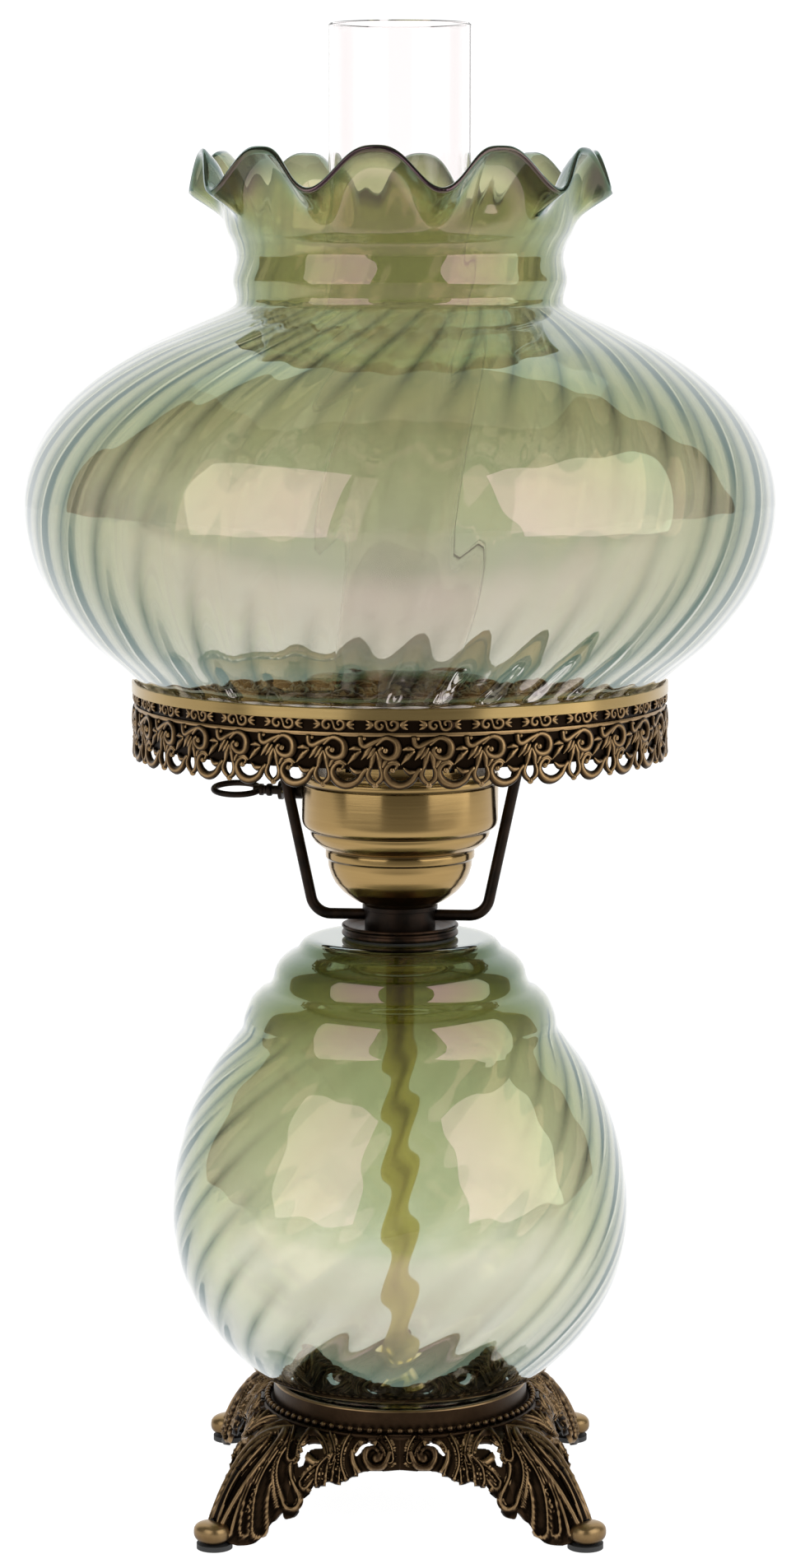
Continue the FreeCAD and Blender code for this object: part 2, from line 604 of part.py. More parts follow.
group("terminal_screws", *terminal_screws)

turned("screw_shell", [
    (6.5, d.core_top), (d.screw_bore + d.screw_wall, d.core_top),
    (d.screw_bore + d.screw_wall, d.screw_top), (d.screw_bore, d.screw_top),
    (d.screw_bore, d.core_top + d.screw_wall), (6.5, d.core_top + d.screw_wall)])
turned("centre_contact", [
    (0, d.core_top - 2), (1.5, d.core_top - 2), (1.5, d.core_top + 0.6), (4.0, d.core_top + 0.6),
    (4.0, d.core_top + 1.5), (0, d.core_top + 1.5)])

# ---------------------------------------------------------------- key switch
bushing = cylinder("bushing_blank", d.bushing_radius, 8.6,
                   along(KEY, 48.7, SIZES["key_level"], key_out))
bushing_hole = cylinder("bushing_hole", d.spindle_bore, 12,
                        along(KEY, 47, SIZES["key_level"], key_out))
cut("key_bushing", bushing, bushing_hole)
rotor = cylinder("rotor_blank", d.rotor_radius, 6.4, along(KEY, 3.8, SIZES["key_level"], key_out))
rotor_hole = cylinder("rotor_hole", d.spindle_radius, 5,
                      along(KEY, 6.8, SIZES["key_level"], key_out))
cut("switch_rotor", rotor, rotor_hole)
spindle = cylinder("spindle", d.spindle_radius, 52.4,
                   along(KEY, 6.9, SIZES["key_level"], key_out))
piece(spindle, "switch_spindle")


def key_shape():
    """Cast turn key along +X: collar disc, small knob, collar and an oval loop of round bar."""
    disc = Part.makeCylinder(4.6, 1.8, Vector(58.9, 0, 0), Vector(1, 0, 0))
    neck = Part.makeCylinder(2.2, 13.5, Vector(60.2, 0, 0), Vector(1, 0, 0))
    knob = Part.makeCylinder(3.1, 3.2, Vector(64.2, 0, 0), Vector(1, 0, 0))
    knob = knob.makeFillet(1.2, knob.Edges)
    collar = Part.makeCylinder(2.9, 1.6, Vector(69.0, 0, 0), Vector(1, 0, 0))
    half, side, bar = SIZES["loop_length"] / 2, SIZES["loop_width"] / 2, SIZES["loop_bar"]
    middle = Vector(SIZES["loop_centre"], 0, 0)
    path = Part.Wire([Part.Ellipse(middle, half - bar / 2, side - bar / 2).toShape()])
    start = middle + Vector(half - bar / 2, 0, 0)
    section = Part.Wire([Part.Circle(start, Vector(0, 1, 0), bar / 2).toShape()])
    loop = path.makePipeShell([section], True, True)
    solid = disc.multiFuse([neck, knob, collar, loop])
    return solid.cut(Part.makeCylinder(SIZES["spindle_radius"], 2, Vector(57.5, 0, 0),
                                       Vector(1, 0, 0)))


key = made("switch_key", key_shape())
key.Placement = (Placement(Vector(0, 0, SIZES["key_level"]), Rotation(Vector(0, 0, 1), KEY))
                 * Placement(Vector(0, 0, 0), Rotation(Vector(1, 0, 0), SIZES["loop_tilt"])))

# ---------------------------------------------------------------- lift-off glass
turned("chimney_glass", [
    (d.chimney_radius - d.chimney_wall, d.chimney_bottom), (d.chimney_radius, d.chimney_bottom),
    (d.chimney_radius, d.chimney_top - 0.8), (d.chimney_radius - 0.7, d.chimney_top),
    (d.chimney_radius - d.chimney_wall + 0.7, d.chimney_top),
    (d.chimney_radius - d.chimney_wall, d.chimney_top - 0.8)])
fitter, widest = d.fitter_radius.value, d.shade_radius.value
blown("shade_glass", [
    [(fitter, d.ledge_top.value), (fitter + 0.3, 405.6)],
    [(fitter + 2, 407.5)] + belly_curve(
        widest, SIZES["shade_level"], SIZES["shade_drop"], SIZES["shade_rise"],
        (415, 430, 450, 470, SIZES["shade_level"], 515, 535, 552, 566, 582)),
    [(80, 588), (79, 592), (80.5, 600), (78.5, 610), (83, 623), (87, 635), (93, 645),
     (d.rim_radius.value, d.shade_top.value)]], d.glass_wall.value)

# ---------------------------------------------------------------- bulb
turned("bulb_contact", [(0, d.bulb_bottom), (3.4, d.bulb_bottom), (4.8, d.bulb_bottom + 1.2),
                        (4.8, d.bulb_bottom + 1.8), (0, d.bulb_bottom + 1.8)])
turned("bulb_insulator", [(0, d.bulb_bottom + 1.8), (5.6, d.bulb_bottom + 1.8),
                          (12.2, d.bulb_bottom + 5.4), (12.2, d.bulb_bottom + 6.4),
                          (0, d.bulb_bottom + 6.4)])
ring("bulb_base_shell", d.base_radius, d.base_radius - 0.6, d.bulb_bottom + 5.4, d.base_top)
bulb_r = d.bulb_radius.value
blown("bulb_glass", [
    [(12.2, 380.0), (12.2, 388.6)],
    [(12.7, 392.0), (15.4, 400.0), (21.0, 412.0), (27.4, 425.0), (bulb_r, 441.0), (28.2, 453.0),
     (22.0, 464.0), (12.5, 470.2), (3.0, 471.8)],
    [(1.6, 471.8), (0.9, 471.8)]], d.bulb_wall.value)
stem = Part.makeCone(8.0, 3.0, 12.0, Vector(0, 0, d.bulb_bottom.value + 6.6))
rod = Part.makeCylinder(2.4, 30.0, Vector(0, 0, 378.0))
coil = Part.makeTorus(9.0, 0.7, Vector(0, 0, 436.0))
wires = [Part.makeCylinder(0.6, 32.0, Vector(side * 1.6, 0, 406.0),
                           Vector(side * 7.4, 0, 30.2)) for side in (-1, 1)]
made("bulb_mount", stem.multiFuse([rod, coil] + wires))

# ---------------------------------------------------------------- check and write
doc.recompute()
problems = [obj.Name for obj in doc.Objects if {"Invalid", "Error"} & set(obj.State)]
for obj in PIECES:
    if obj.Shape.isNull() or not obj.Shape.isValid():
        problems.append(obj.Label)
if problems:
    raise RuntimeError(f"failed: {problems}")
os.makedirs("parts", exist_ok=True)
for obj in PIECES:
    obj.Shape.exportStep(f"parts/{obj.Label}.step")
    print(f"{obj.Label:18s} {len(obj.Shape.Solids)} solid(s) {obj.Shape.Volume / 1000:9.2f} cm3")
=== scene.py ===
"""Looks of the hurricane lamp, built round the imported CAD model. Metres, +Z up, front is -Y."""
import math

import bmesh
import bpy
import numpy as np
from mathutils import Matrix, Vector


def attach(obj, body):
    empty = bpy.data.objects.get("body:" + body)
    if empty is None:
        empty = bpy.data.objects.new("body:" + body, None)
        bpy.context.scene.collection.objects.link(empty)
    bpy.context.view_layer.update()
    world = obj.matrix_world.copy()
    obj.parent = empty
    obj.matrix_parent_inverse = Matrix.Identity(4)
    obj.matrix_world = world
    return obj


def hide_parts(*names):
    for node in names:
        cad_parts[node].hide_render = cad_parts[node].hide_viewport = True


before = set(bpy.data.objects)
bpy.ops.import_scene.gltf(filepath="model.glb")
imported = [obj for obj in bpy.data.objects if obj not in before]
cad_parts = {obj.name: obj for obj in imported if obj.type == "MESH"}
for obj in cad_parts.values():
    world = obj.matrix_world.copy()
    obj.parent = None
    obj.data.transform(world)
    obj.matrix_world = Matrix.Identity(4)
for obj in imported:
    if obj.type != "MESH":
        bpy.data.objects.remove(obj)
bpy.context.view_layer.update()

MM = 0.001
FRONT = -90.0            # bearing of the lamp's front, degrees
TURN = 2.0 * math.pi


def stands_for(piece, node, body, finish):
    """Finish a piece and let it take a CAD node's place on a body."""
    piece.data.materials.append(finish)
    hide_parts(node)
    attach(piece, body)
    return piece


# ------------------------------------------------------------------ mesh making
def new_piece(name, points, faces, smooth=True, attributes=None):
    """A mesh object from an (n, 3) array of points and a list of face arrays of equal width."""
    mesh = bpy.data.meshes.new(name)
    loops = np.concatenate([block.ravel() for block in faces]).astype(np.int32)
    widths = np.concatenate([np.full(len(block), block.shape[1]) for block in faces])
    starts = np.concatenate([[0], np.cumsum(widths)[:-1]]).astype(np.int32)
    mesh.vertices.add(len(points))
    mesh.vertices.foreach_set("co", np.ascontiguousarray(points, np.float32).ravel())
    mesh.loops.add(len(loops))
    mesh.loops.foreach_set("vertex_index", loops)
    mesh.polygons.add(len(starts))
    mesh.polygons.foreach_set("loop_start", starts)
    mesh.polygons.foreach_set("use_smooth", np.full(len(starts), smooth))
    for label, values in (attributes or {}).items():
        layer = mesh.attributes.new(label, "FLOAT", "POINT")
        layer.data.foreach_set("value", np.ascontiguousarray(values, np.float32).ravel())
    mesh.update(calc_edges=True)
    mesh.validate()
    piece = bpy.data.objects.new(name, mesh)
    bpy.context.scene.collection.objects.link(piece)
    return piece


def grid_faces(rows, columns, wrap_rows=False, wrap_columns=False):
    """Quads over a grid of rows by columns of points, numbered row by row."""
    i = np.arange(rows if wrap_rows else rows - 1)[:, None]
    j = np.arange(columns if wrap_columns else columns - 1)[None, :]
    i2, j2 = (i + 1) % rows, (j + 1) % columns
    quads = np.stack([i * columns + j + 0 * i2, i * columns + j2, i2 * columns + j2,
                      i2 * columns + j], axis=-1)
    return quads.reshape(-1, 4)


def facing_out(points, faces):
    """The faces of a closed shell turned outward: all reversed if they enclose less than none.

    Six times the volume = sum over faces, fanned into triangles, of a . (b x c).
    """
    volume = 0.0
    for block in faces:
        corners = points[block]
        for k in range(1, block.shape[1] - 1):
            volume += np.einsum("ij,ij->", corners[:, 0],
                                np.cross(corners[:, k], corners[:, k + 1]))
    return faces if volume > 0 else [block[:, ::-1] for block in faces]


def joined(parts):
    """Several (points, faces, attribute dict) sets as one."""
    points, faces, values = [], [], {}
    base = 0
    for part_points, part_faces, part_values in parts:
        points.append(part_points)
        faces.extend(block + base for block in facing_out(part_points, part_faces))
        for label, numbers in part_values.items():
            values.setdefault(label, []).append(numbers)
        base += len(part_points)
    return np.concatenate(points), faces, {k: np.concatenate(v) for k, v in values.items()}


def curve_through(points, count):
    """A smooth curve through the points, evenly spaced by length.

    Each span is the cubic whose end slopes are half the chord between its neighbours.
    """
    p = np.asarray(points, float)
    ends = np.concatenate([[2 * p[0] - p[1]], p, [2 * p[-1] - p[-2]]])
    t = np.linspace(0, 1, 24, endpoint=False)[None, :, None]
    a, b, c, d = (ends[k:len(ends) - 3 + k][:, None, :] for k in range(4))
    fine = 0.5 * ((2 * b) + (c - a) * t + (2 * a - 5 * b + 4 * c - d) * t ** 2
                  + (3 * b - a - 3 * c + d) * t ** 3)
    fine = np.concatenate([fine.reshape(-1, p.shape[1]), p[-1:]])
    length = np.concatenate([[0], np.cumsum(np.linalg.norm(np.diff(fine, axis=0), axis=1))])
    even = np.linspace(0, length[-1], count)
    return np.stack([np.interp(even, length, fine[:, k]) for k in range(p.shape[1])], axis=-1)


def rounded(points, radius, steps=4):
    """A turned outline with every corner eased: each corner becomes a quadratic curve that
    starts and ends a radius away from it, or 45 % of the shorter edge if that is less."""
    p = np.asarray(points, float)
    out = [p[0]]
    for before, corner, after in zip(p[:-2], p[1:-1], p[2:]):
        run_in, run_out = before - corner, after - corner
        reach = min(radius, 0.45 * np.linalg.norm(run_in), 0.45 * np.linalg.norm(run_out))
        start = corner + run_in / np.linalg.norm(run_in) * reach
        end = corner + run_out / np.linalg.norm(run_out) * reach
        t = np.linspace(0, 1, steps)[:, None]
        out.extend((1 - t) ** 2 * start + 2 * t * (1 - t) * corner + t ** 2 * end)
    out.append(p[-1])
    return np.array(out)


def revolved(outline, columns=192, closed=True):
    """Points and quads of an outline (radius, height) carried round the axis.

    Point = (radius cos a, radius sin a, height) for bearings a all the way round.
    """
    bearing = np.linspace(0, TURN, columns, endpoint=False)[:, None]
    radius, height = outline[None, :, 0], outline[None, :, 1]
    points = np.stack([radius * np.cos(bearing), radius * np.sin(bearing),
                       height + 0 * bearing], axis=-1)
    faces = grid_faces(columns, len(outline), True, closed)
    return points.reshape(-1, 3), faces


def turned(name, outline, corner=0.6, columns=192, grooves=()):
    """A turned metal piece: a closed outline in millimetres, corners eased, revolved.

    It is painted darker, as shade, by exp(-((level - groove) / 0.7)^2) round the level of each
    groove.
    """
    loop = rounded(list(outline) + [outline[0], outline[1]], corner)[1:-1]
    points, faces = revolved(loop * MM, columns)
    levels = points[:, 2] / MM
    # painted shade in the recesses between the turned steps
    dark = sum((np.exp(-((levels - groove) / 0.7) ** 2) for groove in grooves), 0 * levels)
    return new_piece(name, points, facing_out(points, [faces]), attributes={"groove": dark})


def bar_along(path, width, height, outward, sides=8):
    """A bar carried along a path: every section is an ellipse, width across and height out.

    Point = path + width cos a * across + height sin a * outward, with the section shrinking
    as its width and height arrays say. Returns points, faces and each point's share of height.
    """
    along = np.gradient(path, axis=0)
    along /= np.linalg.norm(along, axis=1, keepdims=True) + 1e-12
    across = np.cross(along, outward)
    across /= np.linalg.norm(across, axis=1, keepdims=True) + 1e-12
    a = np.linspace(0, TURN, sides, endpoint=False)[None, :, None]
    points = (path[:, None] + width[:, None, None] * np.cos(a) * across[:, None]
              + height[:, None, None] * np.sin(a) * outward[:, None])
    lift = np.broadcast_to(np.sin(a)[..., 0], points.shape[:2])
    faces = grid_faces(len(path), sides, False, True)[:, ::-1]
    caps = [np.arange(sides)[None, :], ((len(path) - 1) * sides + np.arange(sides))[None, ::-1]]
    return points.reshape(-1, 3), [faces] + caps, lift.ravel()


def ball(centre, radius, squash=1.0, rows=7, columns=10):
    """A small ball: points centre + radius (sin p cos a, sin p sin a, squash cos p)."""
    p = np.linspace(0.02, math.pi - 0.02, rows)[:, None]
    a = np.linspace(0, TURN, columns, endpoint=False)[None, :]
    unit = np.stack([np.sin(p) * np.cos(a), np.sin(p) * np.sin(a), squash * np.cos(p) + 0 * a], -1)
    points = np.asarray(centre) + radius * unit.reshape(-1, 3)
    caps = [np.arange(columns)[None, :], ((rows - 1) * columns + np.arange(columns))[None, ::-1]]
    return points, [grid_faces(rows, columns, False, True)[:, ::-1]] + caps


# ------------------------------------------------------------------ materials
class Wire:
    """A shader socket that can be used in Python sums."""

    def __init__(self, recipe, socket):
        self.recipe = recipe
        self.socket = socket

    def _sum(self, operation, *values):
        return self.recipe.node("ShaderNodeMath", {"operation": operation}, *values)

    def __add__(self, other):
        return self._sum("ADD", self, other)

    __radd__ = __add__

    def __mul__(self, other):
        return self._sum("MULTIPLY", self, other)

    __rmul__ = __mul__

    def __sub__(self, other):
        return self._sum("SUBTRACT", self, other)

    def __rsub__(self, other):
        return self._sum("SUBTRACT", other, self)

    def __truediv__(self, other):
        return self._sum("DIVIDE", self, other)

    def __pow__(self, other):
        return self._sum("POWER", self, other)

    def clamp(self):
        return self.recipe.node("ShaderNodeClamp", {}, self)


class Recipe:
    """One material being made up."""

    def __init__(self, name):
        self.material = bpy.data.materials.new(name)
        self.material.use_nodes = True
        self.tree = self.material.node_tree
        self.tree.nodes.clear()

    def node(self, kind, settings, *values, output=0, **named):
        """Add a node: its settings first, then values or wires for its inputs."""
        made = self.tree.nodes.new(kind)
        for key, value in settings.items():
            if key == "stops":
                self._stops(made.color_ramp, value)
            else:
                setattr(made, key, value)
        for key, value in list(enumerate(values)) + list(named.items()):
            self.feed(made.inputs[key], value)
        return Wire(self, made.outputs[output])

    @staticmethod
    def _stops(ramp, stops):
        """Set a colour ramp's stops as (place, colour)."""
        while len(ramp.elements) < len(stops):
            ramp.elements.new(1.0)
        for element, (place, colour) in zip(ramp.elements, stops):
            element.position = place
            element.color = (*colour, 1.0)

    def feed(self, socket, value):
        """Link a wire to a socket, or set the socket's own value."""
        if isinstance(value, Wire):
            self.tree.links.new(value.socket, socket)
        elif value is not None:
            socket.default_value = value

    def place(self, scale=(1.0, 1.0, 1.0)):
        """Object coordinates, stretched."""
        where = self.node("ShaderNodeTexCoord", {}, output="Object")
        made = self.tree.nodes.new("ShaderNodeMapping")
        self.feed(made.inputs["Vector"], where)
        made.inputs["Scale"].default_value = scale
        return Wire(self, made.outputs[0])

    def noise(self, scale, detail=3.0, stretch=(1.0, 1.0, 1.0), rough=0.55):
        """Cloudy noise from 0 to 1 over object coordinates."""
        made = self.tree.nodes.new("ShaderNodeTexNoise")
        self.feed(made.inputs["Vector"], self.place(stretch))
        made.inputs["Scale"].default_value = scale
        made.inputs["Detail"].default_value = detail
        made.inputs["Roughness"].default_value = rough
        return Wire(self, made.outputs["Fac"])

    def layer(self, label):
        """A number that the mesh carries at each point."""
        return self.node("ShaderNodeAttribute", {"attribute_name": label}, output="Fac")

    def ramp(self, value, *stops):
        """A colour read from a ramp."""
        return self.node("ShaderNodeValToRGB", {"stops": stops}, value)

    def between(self, mask, low, high):
        """A colour from low to high by the mask."""
        made = self.tree.nodes.new("ShaderNodeMix")
        made.data_type = "RGBA"
        self.feed(made.inputs["Factor"], mask)
        for socket, value in ((made.inputs[6], low), (made.inputs[7], high)):
            self.feed(socket, value if isinstance(value, Wire) else (*value, 1.0))
        return Wire(self, made.outputs[2])

    def dented(self, height, strength, depth):
        """A normal that follows a height, in metres of depth."""
        made = self.tree.nodes.new("ShaderNodeBump")
        made.inputs["Strength"].default_value = strength
        made.inputs["Distance"].default_value = depth
        self.feed(made.inputs["Height"], height)
        return Wire(self, made.outputs[0])

    def finish(self, base, **sockets):
        """The surface shader; every socket is named as Blender names it, with _ for a space."""
        shader = self.tree.nodes.new("ShaderNodeBsdfPrincipled")
        self.feed(shader.inputs["Base Color"], base if isinstance(base, Wire) else (*base, 1.0))
        for key, value in sockets.items():
            self.feed(shader.inputs[key.replace("_", " ")], value)
        out = self.tree.nodes.new("ShaderNodeOutputMaterial")
        self.tree.links.new(shader.outputs[0], out.inputs["Surface"])
        return self.material


def rubbed_and_shaded_brass(name, dark, middle, bright, shine=0.34):
    """Antiqued brass: dark patina with painted shade in the hollows, rubbed bright with painted
    highlights where the relief stands up.
    """
    r = Recipe(name)
    cloud = r.noise(160.0, 4.0)
    relief = (r.layer("relief") + (cloud - 0.5) * 0.35).clamp()
    # the relief number paints shade low and highlight high over the metal's own rubbed finish
    colour = r.ramp(relief, (0.12, dark), (0.55, middle), (0.95, bright))
    rough = shine + 0.22 * (1.0 - relief) + 0.08 * cloud
    bump = r.dented(r.noise(900.0, 2.0), 0.12, 0.0004)
    return r.finish(colour, Metallic=1.0, Roughness=rough, Normal=bump)


def brushed_brass(name, colour, deep, shine=0.26, strength=0.12):
    """Satin brass brushed round the axis: long streaks round it and fine lines up it, with painted
    shade in its grooves.
    """
    r = Recipe(name)
    lines = r.noise(520.0, 3.0, (0.025, 0.025, 1.0), 0.7)
    cloud = r.noise(30.0, 2.0)
    tone = (lines * 0.7 + cloud * 0.3).clamp()
    base = r.between(tone, deep, colour)
    # painted shade: near black where the turned piece marks a groove
    base = r.between(r.layer("groove") * 0.85, base, tuple(c * 0.1 for c in deep))
    bump = r.dented(lines, strength, 0.0003)
    return r.finish(base, Metallic=1.0, Roughness=shine + 0.08 * lines, Normal=bump,
                    Anisotropic=0.6, Anisotropic_Rotation=0.25)


def dark_bronze(name, colour=(0.028, 0.020, 0.014), edge=(0.10, 0.055, 0.03)):
    """Near-black oil-rubbed bronze with a warm cast in its clouds."""
    r = Recipe(name)
    cloud = r.noise(120.0, 4.0)
    base = r.between((cloud - 0.35) * 2.0, colour, edge)
    bump = r.dented(r.noise(700.0, 2.0), 0.1, 0.0003)
    return r.finish(base, Metallic=0.9, Roughness=0.30 + 0.2 * cloud, Normal=bump)


def plain(name, colour, other, metallic=0.0, rough=0.5, scale=90.0):
    """A plain finish with faint clouding in colour and gloss."""
    r = Recipe(name)
    cloud = r.noise(scale, 3.0)
    bump = r.dented(cloud, 0.08, 0.0003)
    return r.finish(r.between(cloud, colour, other), Metallic=metallic,
                    Roughness=rough + 0.12 * cloud, Normal=bump)


def clear_glass(name, colour=(0.99, 0.965, 0.965), bend=1.25):
    """Clear glass with a trace of ripple."""
    r = Recipe(name)
    ripple = r.noise(14.0, 1.0, (1.0, 1.0, 0.3))
    bump = r.dented(ripple, 0.05, 0.002)
    tint = r.between(ripple, colour, tuple(c * 0.99 for c in colour))
    return r.finish(tint, Roughness=0.0, IOR=bend, Transmission_Weight=1.0, Normal=bump)


def thin_glass(name):
    """The bulb's very thin clear glass: next to nothing but a faint gloss."""
    r = Recipe(name)
    cloud = r.noise(20.0, 1.0)
    return r.finish(r.between(cloud, (0.9, 0.9, 0.9), (1.0, 1.0, 1.0)), Roughness=0.05,
                    Alpha=0.03 + 0.03 * cloud)


def lustre_glass(name, stops, edge, line, coat=1.3):
    """Smoky lustre glass under an oily, bright skin.

    stops: tint up the glass as (share of its height, colour). edge: the paler tint painted as a
    reflection where the wall is seen on its side. line: the ribs' painted dark reflection there.
    """
    r = Recipe(name)
    cloud = r.noise(9.0, 3.0)
    body = r.ramp((r.layer("depth") + (cloud - 0.5) * 0.12).clamp(), *stops)
    facing = r.node("ShaderNodeLayerWeight", {}, 0.5, output="Facing")
    # painted reflection: the tint turns to edge where the wall is seen on its side
    painted_reflection_aside = ((facing - 0.34) / 0.5).clamp()
    tint = r.between(painted_reflection_aside, body, edge)
    # painted dark reflections along the ribs near the outline
    ribs = (r.layer("rib") * ((facing - 0.16) / 0.3).clamp()).clamp()
    tint = r.between(ribs, tint, line)
    ripple = r.dented(r.noise(22.0, 2.0), 0.04, 0.003)
    return r.finish(tint, Roughness=0.02, IOR=1.45, Transmission_Weight=1.0, Normal=ripple,
                    Thin_Film_Thickness=480.0, Thin_Film_IOR=1.6,
                    Coat_Weight=1.0, Coat_IOR=coat, Coat_Roughness=0.03)


# ------------------------------------------------------------------ blown glass
def swirl_shell(name, outline, wall, ribs, lean, strength, flutes=None, around_each=10):
    """Ribbed blown glass.

    outline: (radius, height) in mm up the outside. lean, strength: each rib's angle from
    upright in degrees and its depth in mm along the outline, as (height, value) pairs.
    Point = axis turned by the swirl + radius, less 0.3 of the ribs' depth between them. The
    swirl is the running sum of tan(lean) / radius. The inner face rises by the whole depth.
    flutes: (count, bearing of the first dip, start height, drop, spread) of a ruffled rim.
    """
    count = 130
    columns = ribs * around_each
    profile = curve_through(outline, count)
    radius, height = profile[:, 0], profile[:, 1]
    step = np.concatenate([[0], np.linalg.norm(np.diff(profile, axis=0), axis=1)])
    angle = np.radians(np.interp(height, *zip(*lean)))
    swirl = np.cumsum(step * np.tan(angle) / radius)
    depth = np.interp(height, *zip(*strength))
    slope = np.gradient(profile, axis=0)
    slope /= np.linalg.norm(slope, axis=1, keepdims=True)
    phase = np.arange(columns) / columns
    around = (phase * ribs + 0.5) % 1.0 - 0.5
    ridge = np.exp(-(around / 0.15) ** 2)[:, None]
    swell = (0.5 + 0.5 * np.cos(TURN * around))[:, None]
    bearing = (phase * TURN)[:, None] + swirl[None, :]

    def skin(inset, rise):
        """One face of the wall, moved in along the outline's normal."""
        sink = inset + depth[None, :] * rise
        r = radius[None, :] - sink * slope[None, :, 1]
        z = height[None, :] + sink * slope[None, :, 0]
        if flutes:
            number, first_dip, start, drop, spread = flutes
            share = np.clip((height - start) / (height[-1] - start), 0, 1)[None, :]
            share = share * share * (3 - 2 * share)
            wave = 2 * (0.5 + 0.5 * np.cos(number * (bearing - math.radians(first_dip)))) ** 1.5 - 1
            z = z - share * drop * wave
            r = r + share * spread * (0.35 + wave)
        return np.stack([r * np.cos(bearing), r * np.sin(bearing), z + 0 * bearing], -1)

    outer, inner = skin(0.0, 0.3 * (1 - swell)), skin(wall, swell)[:, ::-1]
    rim = (outer[:, -1:] + inner[:, :1]) / 2 + np.array([0, 0, wall * 0.35])
    lip = (outer[:, :1] + inner[:, -1:]) / 2 - np.array([0, 0, 0.3])
    grid = np.concatenate([outer, rim, inner, lip], axis=1) * MM
    low, high = height[0], height[-1]
    share = np.concatenate([height, height[-1:], height[::-1], height[:1]])
    share = np.broadcast_to((share - low) / (high - low), grid.shape[:2])
    # rib marks where dark reflections are painted along the ribs near the outline
    rib = np.zeros(grid.shape[:2])
    fade = np.clip(depth / depth.max() * 1.5, 0, 1)[None, :]
    rib[:, :count] = ridge * fade
    faces = grid_faces(columns, grid.shape[1], True, True)
    points = grid.reshape(-1, 3)
    return new_piece(name, points, facing_out(points, [faces]),
                     attributes={"depth": share, "rib": rib})


def belly(widest, level, drop, rise, levels):
    """Outline of a belly: radius = widest sqrt(1 - ((height - level) / half-height)^2).

    drop and rise are the half-heights of the ellipses below and above the widest place, in mm.
    """
    return [(widest * math.sqrt(1 - ((z - level) / (rise if z > level else drop)) ** 2), z)
            for z in levels]


SHADE_OUTLINE = [(125.5, 403.7), (126.0, 406.0), (128.0, 408.0)] + belly(
    181.2, 493, 118, 102, (416, 430, 450, 470, 493, 515, 535, 552, 566, 576)) + [
    (81, 587), (79, 592), (80.5, 600), (78.5, 610), (80, 617), (83, 623), (86.5, 635), (91, 643),
    (98.5, 650)]
GLOBE_OUTLINE = [(57.0, 49.0), (57.2, 56.5), (60.0, 60.5)] + belly(
    112.4, 144, 101, 125, (67, 76, 90, 108, 126, 144, 162, 180, 198, 216, 230)) + [
    (77.5, 236), (76.5, 242), (73, 250), (68, 255), (64, 257.5), (62, 262), (61, 266), (58, 270),
    (54, 273), (50, 275.5), (48, 278.5), (45, 280.2), (40, 280.6), (19.2, 280.6)]


def glass_shade():
    """The ribbed shade with its ten-fluted rim."""
    piece = swirl_shell(
        "shade", SHADE_OUTLINE, 2.6, 36,
        lean=[(404, 14), (495, 17), (590, 26), (655, 10)],
        strength=[(404, 0.8), (440, 0.8), (560, 0.7), (592, 0.3), (655, 0.2)],
        flutes=(10, FRONT + 11.2, 622.0, 9.6, 2.6))
    finish = lustre_glass("shade_lustre",
                          [(0.0, (0.74, 0.71, 0.66)), (0.22, (0.68, 0.66, 0.56)),
                           (0.40, (0.64, 0.63, 0.48)), (0.60, (0.50, 0.50, 0.31)),
                           (0.80, (0.44, 0.44, 0.24)), (0.97, (0.42, 0.42, 0.22)),
                           (1.0, (0.08, 0.08, 0.06))],
                          # edge and line: tints painted as reflections where the glass is seen on its
                          # side
                          (0.40, 0.38, 0.27), (0.022, 0.019, 0.018))
    return stands_for(piece, "shade_glass", "shade", finish)


def glass_globe():
    """The stepped globe of the font, clear towards its foot, with ribs from the third step down."""
    piece = swirl_shell(
        "globe", GLOBE_OUTLINE, 2.6, 24,
        lean=[(49, 20), (100, 40), (145, 45), (200, 42), (238, 40), (281, 0)],
        strength=[(49, 0.0), (62, 0.15), (90, 0.35), (150, 0.42), (215, 0.42), (238, 0.3), (252, 0.0),
                  (281, 0.0)])
    finish = lustre_glass("font_lustre",
                          [(0.0, (0.30, 0.31, 0.25)), (0.08, (0.62, 0.62, 0.55)),
                           (0.20, (0.88, 0.87, 0.83)), (0.32, (0.72, 0.72, 0.58)),
                           (0.60, (0.62, 0.63, 0.45)), (0.80, (0.52, 0.53, 0.33)),
                           # the darkest stops, at the top steps, also paint in the dark reflections
                           # seen there
                           (0.88, (0.24, 0.25, 0.09)), (1.0, (0.12, 0.12, 0.05))],
                          # edge and line: tints painted as reflections where the glass is seen on its
                          # side
                          (0.44, 0.41, 0.34), (0.03, 0.027, 0.025))
    return stands_for(piece, "globe_glass", "stand", finish)


# ------------------------------------------------------------------ filigree band
BAND_RADIUS = 128.35     # face of the pierced strip, mm
THIN_LINE = 395.0        # level of the bead between the scroll strip and the filigree, mm
REPEATS = 33
PITCH = TURN * BAND_RADIUS / REPEATS
SEAM = FRONT + 10.5      # bearing of the strip's joint
BOLD = 1.7               # how much fuller the strokes are than drawn

